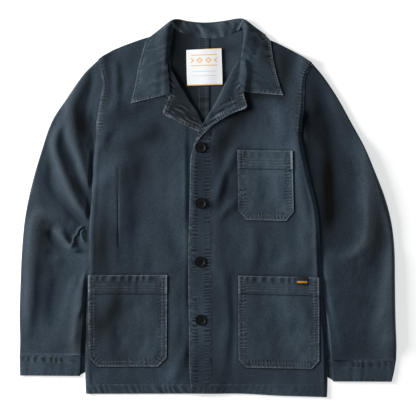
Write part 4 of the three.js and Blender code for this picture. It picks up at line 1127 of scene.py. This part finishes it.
def makeLapel(side):
    shape = lapels[side]
    across = graded(45, 1.3)
    x, y = ladder(shape["rows"], graded(shape["length"], 1.5), across)
    u = across[None, :] + 0 * x
    z = readHeap(drape(5, 3), x, y) + air + 2.2
    z += shape["lift"] * smooth(u, 0.45, 1) * smooth(y, 165, 205)
    z += 1.6 * (1 - smooth(u, 0, 0.5)) * smooth(y, 150, 200) + 0.4 * softNoise(x, y, 12, 26, 81)
    # creases run in from the edge and fade at the roll
    crease = np.sin((x * shape["lean"] + y) / 1.9 + 2.2 * softNoise(x, y, 17, 17, 83))
    crease = crease * np.clip(0.55 + softNoise(x, y, 13, 13, 84), 0, 1) * smooth(u, 0.12, 0.6)
    z += 0.6 * crease
    marks = newMarks(x)
    # painted shade in the crease hollows and a painted highlight on their crests; darker away from the roll line
    marks["dye_and_shade"] += shape["darkening"] * smooth(u, 0, 0.4) + 1.1 * np.clip(-crease, 0, 1)
    marks["wear_and_highlight"] += 0.36 * np.clip(crease, 0, 1) + shape["rollWear"] * (1 - smooth(u, 0.01, 0.07))
    sew(x, y, z, marks, shape["edge"], 12, 6, 0.4, [5.5], 85, rim=0.75, rung=0.25, groove=0.4, dots=0.4)
    # an even painted shade over the right lapel and painted light over the left one
    marks["tone"] += shape["paintedLightAndShade"]
    addFadeAndPaintedLight(marks, x, y, shape["fadeAndPaintedLight"])
    if side == "left":
        slitHole(x, y, z, marks, [[44.5, 231], [47.5, 224], [52, 215]])
    layOnHeap(x, y, z)
    piece = makeSheet(f"lapel_{side}_cloth", x, y, z, 2.0, marks)
    declare(piece, f"lapel_{side}", facingCloth)


makeLapel("right")
makeLapel("left")
print("lapels laid")

collar = {
    "around": 520.0, "deep": 95.0, "wall": 1.8,
    "rims": [0.8, 0.45, 1.0, 1.3],  # wear on the long edges, right and left, and on the two short ones
    # round the neck from the right wing to the left one: base, roll crest, turn, leaf edge, each x, y, z
    "rows": [
        [-80, 239, 5.2, -84, 238, 6.4, -92, 237, 6.4, -162, 220, 5],
        [-82, 266, 5.4, -87, 266, 8, -96, 265, 7.4, -153, 258, 5.2],
        [-85, 298, 6.5, -90, 305, 11.5, -100, 304, 9.5, -146, 296, 5.8],
        [-80, 328, 7, -88, 337, 14.5, -98, 338, 11.5, -139, 323, 6.6],
        [-78, 350, 7.2, -86, 364, 15.5, -98, 362, 11.5, -134, 340, 7],
        [-76, 368, 7.5, -85, 378, 14, -98, 371, 9.2, -131.5, 350.5, 7],
        [-71, 379, 6.6, -79, 389, 11.5, -90, 382, 5.6, -125, 356, 4.2],
        [-66, 375, 4.6, -73, 391, 8.5, -78, 393, 4.8, -113, 363, 1.2],
        [-57, 370, 3.2, -62, 390, 6.4, -65, 395, 3.2, -104, 345, 1],
        [-34, 360, 2.8, -40, 384, 5.8, -42, 390, 2.8, -54, 322, 1],
        [-1, 356, 2.8, -7, 381, 5.6, -8, 387, 2.7, -4, 314, 1],
        [31, 359, 2.8, 30, 384, 5.8, 29, 390, 2.8, 46, 322, 1],
        [57, 370, 3.2, 62, 391, 6.4, 64, 396, 3.2, 96, 342, 1],
        [66, 375, 4.6, 74, 392, 10.5, 79, 394, 8.5, 116, 364, 3.6],
        [71, 379, 6.6, 79, 389, 13, 90, 382, 10.5, 124, 358.5, 7.5],
        [75, 366, 7.5, 82, 374, 14.5, 96, 368, 11.5, 131.5, 350.5, 8],
        [74, 348, 7.2, 79, 356, 14.6, 92, 355, 12.8, 133, 336, 7],
        [71, 328, 7, 74, 334, 13.2, 88, 334, 12.2, 136, 317, 6.6],
        [67, 300, 6.5, 71, 304, 10, 83, 303, 9.8, 141, 292, 5.8],
        [66, 270, 5.4, 70, 271, 7.4, 81, 271, 7.6, 148, 265, 5.2],
        [69, 244, 5.2, 73, 244, 6.4, 82, 243, 6.4, 158, 237, 5],
    ],
    "fadeAndPaintedLight": [
        [-140, 290, 60, 40, 90, 0.3], [-96, 278, 22, 9, 90, -0.4], [-128, 254, 40, 14, 120, 0.3],
        [79, 301, 70, 18, 90, 0.1], [119, 333, 40, 16, 90, -0.35], [87, 357, 30, 14, 60, -0.15],
        [143, 292, 62, 11, 105, -0.5], [112, 300, 70, 40, 90, 0.15], [85, 300, 45, 7, 95, 0.5],
        [-90, 350, 26, 7, 90, -0.5], [-60, 392, 26, 5, 170, -0.5], [-88, 278, 22, 9, 90, -0.34],
        [-136, 262, 22, 9, 120, 0.22], [79, 293, 40, 14, 90, 0.45], [119, 325, 40, 14, 90, -0.38],
        [127, 245, 40, 14, 120, -0.29],
    ],
}


def makeCollar():
    around, deep, half = collar["around"], collar["deep"], collar["wall"] / 2
    along = graded(around, 2.2, [(0, 8, 1.2), (around, 8, 1.2)])
    down = graded(deep, 1.7, [(deep, 8, 1.2)])
    run = curveThrough(collar["rows"], along)
    sections = []
    for row in run:
        base, roll, turn, tip = row.reshape(4, 3)
        middle = turn * 0.5 + tip * 0.5
        middle[2] = min(middle[2], tip[2] + 0.1)
        sections.append(curveThrough([base, roll, turn, middle, tip], down ** 0.9))
    grid = np.array(sections)
    x, y, z = grid[..., 0], grid[..., 1], grid[..., 2]
    onFront = smooth(run[:, 11], 3.6, 4.3)[:, None] + 0 * x
    below = readHeap(drape(4, 2.5), x, y)
    rest = np.where(onFront > 0.5, below + air + half, half + 0.02)
    z = np.maximum(z, rest)
    s = along[:, None] * around + 0 * x
    d = down[None, :] * deep + 0 * x
    z = z + onFront * 0.5 * softNoise(x, y, 14, 30, 91) * smooth(deep - d, 4, 20)
    marks = newMarks(x)
    wings = run[:, 11] > 3.8
    edgePath = run[:, 9:11]
    seamPaths = [edgePath[wings & (edgePath[:, 0] < 0)], edgePath[wings & (edgePath[:, 0] > 0)],
                 run[0, [3, 4, 9, 10]].reshape(2, 2), run[-1, [3, 4, 9, 10]].reshape(2, 2)]
    flatZ = np.zeros(x.shape)
    for seed, (path, rim) in enumerate(zip(seamPaths, collar["rims"]), 93):
        sew(x, y, flatZ, marks, path, 9, 6, 0.45, [5.5], seed, rim=rim, rung=0.25, furrow=0.9, groove=0.4,
            dots=0.4 + 0.3 * rim)
    shown = onFront * smooth(d, 45, 60)
    z = z + flatZ * shown
    marks = {key: value * shown if key != "turn" else value for key, value in marks.items()}
    # crumples on the stand inside the neck, and creases across the leaf, with painted shade in their hollows and a
    # painted highlight on their crests
    stand = (1 - smooth(d, 26, 32)) * (1 - onFront)
    crumple = softNoise(s + 0.3 * d, d, 7, 12, 99) + softNoise(s, d, 15, 26, 98)
    z = z + 0.8 * stand * crumple
    marks["dye_and_shade"] += 0.9 * stand * np.clip(-crumple, 0, 1)
    marks["wear_and_highlight"] += 0.26 * stand * np.clip(crumple, 0, 1)
    crease = np.sin((0.5 * np.abs(x) + y) / 2.8 + 2.6 * softNoise(x, y, 20, 20, 97))
    crease = crease * np.clip(0.3 + softNoise(x, y, 16, 16, 96), 0, 1) * onFront
    z = z + 0.3 * crease
    marks["dye_and_shade"] += 0.45 * np.clip(-crease, 0, 1)
    marks["wear_and_highlight"] += 0.12 * np.clip(crease, 0, 1)
    addFadeAndPaintedLight(marks, x, y, collar["fadeAndPaintedLight"])
    # painted light on the stand's left half and painted shade on its right, where the collar's roll shades it
    marks["tone"] += stand * (0.3 * smooth(x, -15, 15) - 0.6 * (1 - smooth(x, -78, -22)))
    layOnHeap(x, y, z + half)
    piece = makeSheet("collar_cloth", x, y, z, collar["wall"], marks, offset=0.0)
    declare(piece, "collar", facingCloth)


makeCollar()
print("collar laid")


def makePocket(name):
    shape = pockets[name]
    topLeft, topRight, lowLeft, lowRight = [np.array(c, float) for c in shape["corners"]]
    cutX, cutY = shape["cut"]
    bandDeep, seed = shape["band"], shape["seed"]
    height = topLeft[1] - lowLeft[1]
    width = topRight[0] - topLeft[0]
    v = graded(height, 2.0, [(0, bandDeep + 4, 1.2), (height, 18, 1.2)])
    u = graded(width, 2.0, [(0, 16, 1.2), (width, 16, 1.2)])
    left = topLeft + (lowLeft - topLeft) * v[:, None]
    right = topRight + (lowRight - topRight) * v[:, None]
    down = v * height
    narrow = cutX * np.clip((down - (height - cutY)) / cutY, 0, 1)
    left[:, 0] += narrow
    right[:, 0] -= narrow
    uu = u[None, :]
    x = left[:, 0:1] * (1 - uu) + right[:, 0:1] * uu
    y = left[:, 1:2] * (1 - uu) + right[:, 1:2] * uu
    below = readHeap(drape(4, 3), x, y)
    outline = pocketOutline(shape)
    away, _, _, _ = nearPath(outline, x, y)
    fromTop = down[:, None] + 0 * x
    inBand = 1 - smooth(fromTop, bandDeep - 0.8, bandDeep + 0.8)
    z = below + air + cloth + 1.3 * inBand
    ease = 1.3 * softNoise(x, y, 26, 46, seed) + 0.5 * softNoise(x, y, 12, 20, seed + 9)
    z += (2.6 * smooth(away, 8, 42) + ease * smooth(away, 6, 26)) * smooth(fromTop, 30, 60)
    z += 0.35 * inBand * softNoise(x, y, 7, 40, seed + 8) + 0.12 * softNoise(x, y, 4, 6, seed + 7)
    marks = newMarks(x)
    sew(x, y, z, marks, outline, 17, 6.2, 0.3, [3.0, 10.5], seed + 1, rim=0.6, rung=0.15, furrow=1.05,
        groove=0.4, dots=0.6, columns=[(6.7, 2.9), (14.3, 2.9)])
    sew(x, y, z, marks, [topLeft, topRight], 15, 17, 0.5, [], seed + 3, rim=0.6, rung=0.12, furrow=0.75)
    faint = np.clip(0.55 + 0.6 * softNoise(x, y, 17, 4, seed + 5), 0, 1) * smooth(away, 12, 18)
    for row in (19.5, 25, 30.5):
        marks["wear_and_highlight"] += 0.2 * faint * np.exp(-((fromTop - row) / 1.2) ** 2)
        marks["dye_and_shade"] += 0.4 * faint * np.exp(-((fromTop - row - 2.4) / 1.2) ** 2)
    # painted shadow under the band's lower edge
    marks["dye_and_shade"] += 1.1 * np.exp(-((fromTop - bandDeep - 0.8) / 0.95) ** 2)
    marks["dye_and_shade"] += 0.45 * inBand * np.exp(-((away - 6.5) / 2) ** 2)
    marks["wear_and_highlight"] += shape["bar"] * inBand * np.exp(-((away - 2.6) / 1.6) ** 2)
    # painted light over the whole pocket where the amount is above 0, painted shade where it is below 0
    marks["tone"] += shape["paintedLightAndShade"]
    addFadeAndPaintedLight(marks, x, y, shape["fadeAndPaintedLight"])
    layOnHeap(x, y, z)
    piece = makeSheet(f"{name}_cloth", x, y, z, cloth, marks)
    declare(piece, name, pocketCloth)


for name in pockets:
    makePocket(name)
print("pockets laid")

tab = {"corners": [187, -143.5, 208, -161.5], "thickness": 1.0, "stripe": [0.0045, 0.0085]}  # stripe in metres


def tabMaterial():
    material, tree, shader = newMaterial("tabWeave", 0.7)
    grain = grainPlace(tree)
    _, up = splitPlace(tree, grain)
    low, high = tab["stripe"]
    stripe = mathNode(tree, "MULTIPLY", mathNode(tree, "GREATER_THAN", up, low), mathNode(tree, "LESS_THAN", up, high))
    black = mixColour(tree, noiseNode(tree, grain, 1800.0), linear(20, 20, 22), linear(36, 36, 38))
    tree.links.new(mixColour(tree, stripe, black, linear(212, 150, 40)), shader.inputs["Base Color"])
    tree.links.new(bumpNode(tree, noiseNode(tree, grain, 2400.0), 0.5, 0.0001), shader.inputs["Normal"])
    return material


def makeTab():
    x0, y1, x1, y0 = tab["corners"]
    x, y = ladder([[x0, y0, x1, y0 - 0.4], [x0, y1, x1, y1 - 0.4]], graded(18, 1.0), graded(21, 1.0))
    z = readHeap(drape(3, 2), x, y) + air + tab["thickness"] + 0.3 * np.sin((x - x0) / 21 * math.pi)
    layOnHeap(x, y, z)
    piece = makeSheet("pocket_tab_woven", x, y, z, tab["thickness"])
    declare(piece, "pocket_tab", tabMaterial())


makeTab()


def buttonMaterial():
    material, tree, shader = newMaterial("darkButton", 0.5, 0.2)
    swirl = ramp(tree, noiseNode(tree, objectPlace(tree), 160.0, 4.0, 0.6), 0.35, 0.7)
    tree.links.new(mixColour(tree, swirl, linear(6, 9, 12), linear(12, 16, 20)), shader.inputs["Base Color"])
    return material


def modelButton(name, centre):
    # a turned disc with a raised rim, a dished middle and four holes
    bpy.ops.mesh.primitive_cylinder_add(vertices=40, radius=button["radius"] * mm, depth=button["height"] * mm,
                                        location=centre)
    disc = bpy.context.object
    disc.name = name
    bpy.ops.object.transform_apply(location=True, rotation=True, scale=True)
    bpy.ops.object.mode_set(mode="EDIT")
    bpy.ops.mesh.select_all(action="DESELECT")
    bpy.ops.mesh.select_mode(type="FACE")
    bpy.ops.object.mode_set(mode="OBJECT")
    for face in disc.data.polygons:
        face.select = face.normal.z > 0.9
    bpy.ops.object.mode_set(mode="EDIT")
    for thickness, depth in button["turning"]:
        bpy.ops.mesh.inset(thickness=thickness * mm, depth=depth * mm)
    bpy.ops.object.mode_set(mode="OBJECT")
    bevel = disc.modifiers.new("rounded", "BEVEL")
    bevel.width = 0.0006
    bevel.segments = 2
    bevel.limit_method = "ANGLE"
    bevel.angle_limit = math.radians(40)
    bpy.ops.object.modifier_apply(modifier=bevel.name)
    deselect()
    drills = []
    for quarter in range(4):
        turn = math.radians(45 + 90 * quarter)
        offset = Vector((math.cos(turn), math.sin(turn), 0)) * button["spacing"] * mm
        bpy.ops.mesh.primitive_cylinder_add(vertices=16, radius=button["hole"] * mm, depth=0.02,
                                            location=centre + offset)
        drills.append(bpy.context.object)
    for drill in drills:
        drill.select_set(True)
    bpy.context.view_layer.objects.active = drills[0]
    bpy.ops.object.join()
    drillSet = bpy.context.object
    deselect()
    disc.select_set(True)
    bpy.context.view_layer.objects.active = disc
    cut = disc.modifiers.new("holes", "BOOLEAN")
    cut.operation = "DIFFERENCE"
    cut.object = drillSet
    cut.solver = "EXACT"
    bpy.ops.object.modifier_apply(modifier=cut.name)
    bpy.data.objects.remove(drillSet, do_unlink=True)
    bpy.ops.object.shade_smooth_by_angle(angle=math.radians(35))
    return disc


def makeButtons():
    material = buttonMaterial()
    for number, (bx, by) in enumerate(button["places"], 1):
        deselect()
        seat = float(readHeap(drape(6, 2), np.array(bx), np.array(by))) + 0.05
        centre = Vector((bx * mm, by * mm, seat * mm + button["height"] * mm / 2))
        disc = modelButton(f"button_{number}_turned", centre)
        disc.data.materials.clear()
        disc.data.materials.append(material)
        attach(disc, "root")
        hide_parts(f"button_{number}")


makeButtons()
print("buttons set")

# metres, and the light at the left as the picture has it
studio = {
    "floor": (0.7, 0.7, 0.7, 1), "glow": 0.62, "sky": (0.93, 0.97, 1.0), "skyLight": 0.2,
    "window": [0.9, 1.1], "energy": 95, "colour": (1.0, 0.985, 0.96), "from": (-2.1, 0.55, 1.0), "aim": (0.05, 0, 0),
    "cameraHeight": 6.0, "jacketMiddle": 0.006, "seenWidth": 0.8736,
}


def addToScene(name, data):
    thing = bpy.data.objects.new(name, data)
    bpy.context.scene.collection.objects.link(thing)
    return thing


def makeStudio():
    deselect()
    bpy.ops.mesh.primitive_plane_add(size=8.0, location=(0, 0, -0.0005))
    floor = bpy.context.object
    floor.name = "studio_floor"
    paper, _, shader = newMaterial("studioPaper", 0.9)
    shader.inputs["Base Color"].default_value = studio["floor"]
    shader.inputs["Emission Color"].default_value = (1, 1, 1, 1)
    shader.inputs["Emission Strength"].default_value = studio["glow"]
    floor.data.materials.append(paper)
    world = bpy.data.worlds.new("studio")
    bpy.context.scene.world = world
    world.use_nodes = True
    world.node_tree.nodes["Background"].inputs["Color"].default_value = (*studio["sky"], 1)
    world.node_tree.nodes["Background"].inputs["Strength"].default_value = studio["skyLight"]
    window = bpy.data.lights.new("window", "AREA")
    window.shape = "RECTANGLE"
    window.size, window.size_y = studio["window"]
    window.energy = studio["energy"]
    window.color = studio["colour"]
    lamp = addToScene("window", window)
    lamp.location = studio["from"]
    aim = Vector(studio["aim"]) - lamp.location
    lamp.rotation_euler = aim.to_track_quat("-Z", "Y").to_euler()
    view = bpy.data.cameras.new("overhead")
    view.sensor_width = 36
    view.lens = 36 * studio["cameraHeight"] / studio["seenWidth"]
    camera = addToScene("overhead", view)
    camera.location = (0, 0, studio["cameraHeight"] + studio["jacketMiddle"])
    bpy.context.scene.camera = camera
    bpy.context.scene.view_settings.view_transform = "Standard"


makeStudio()
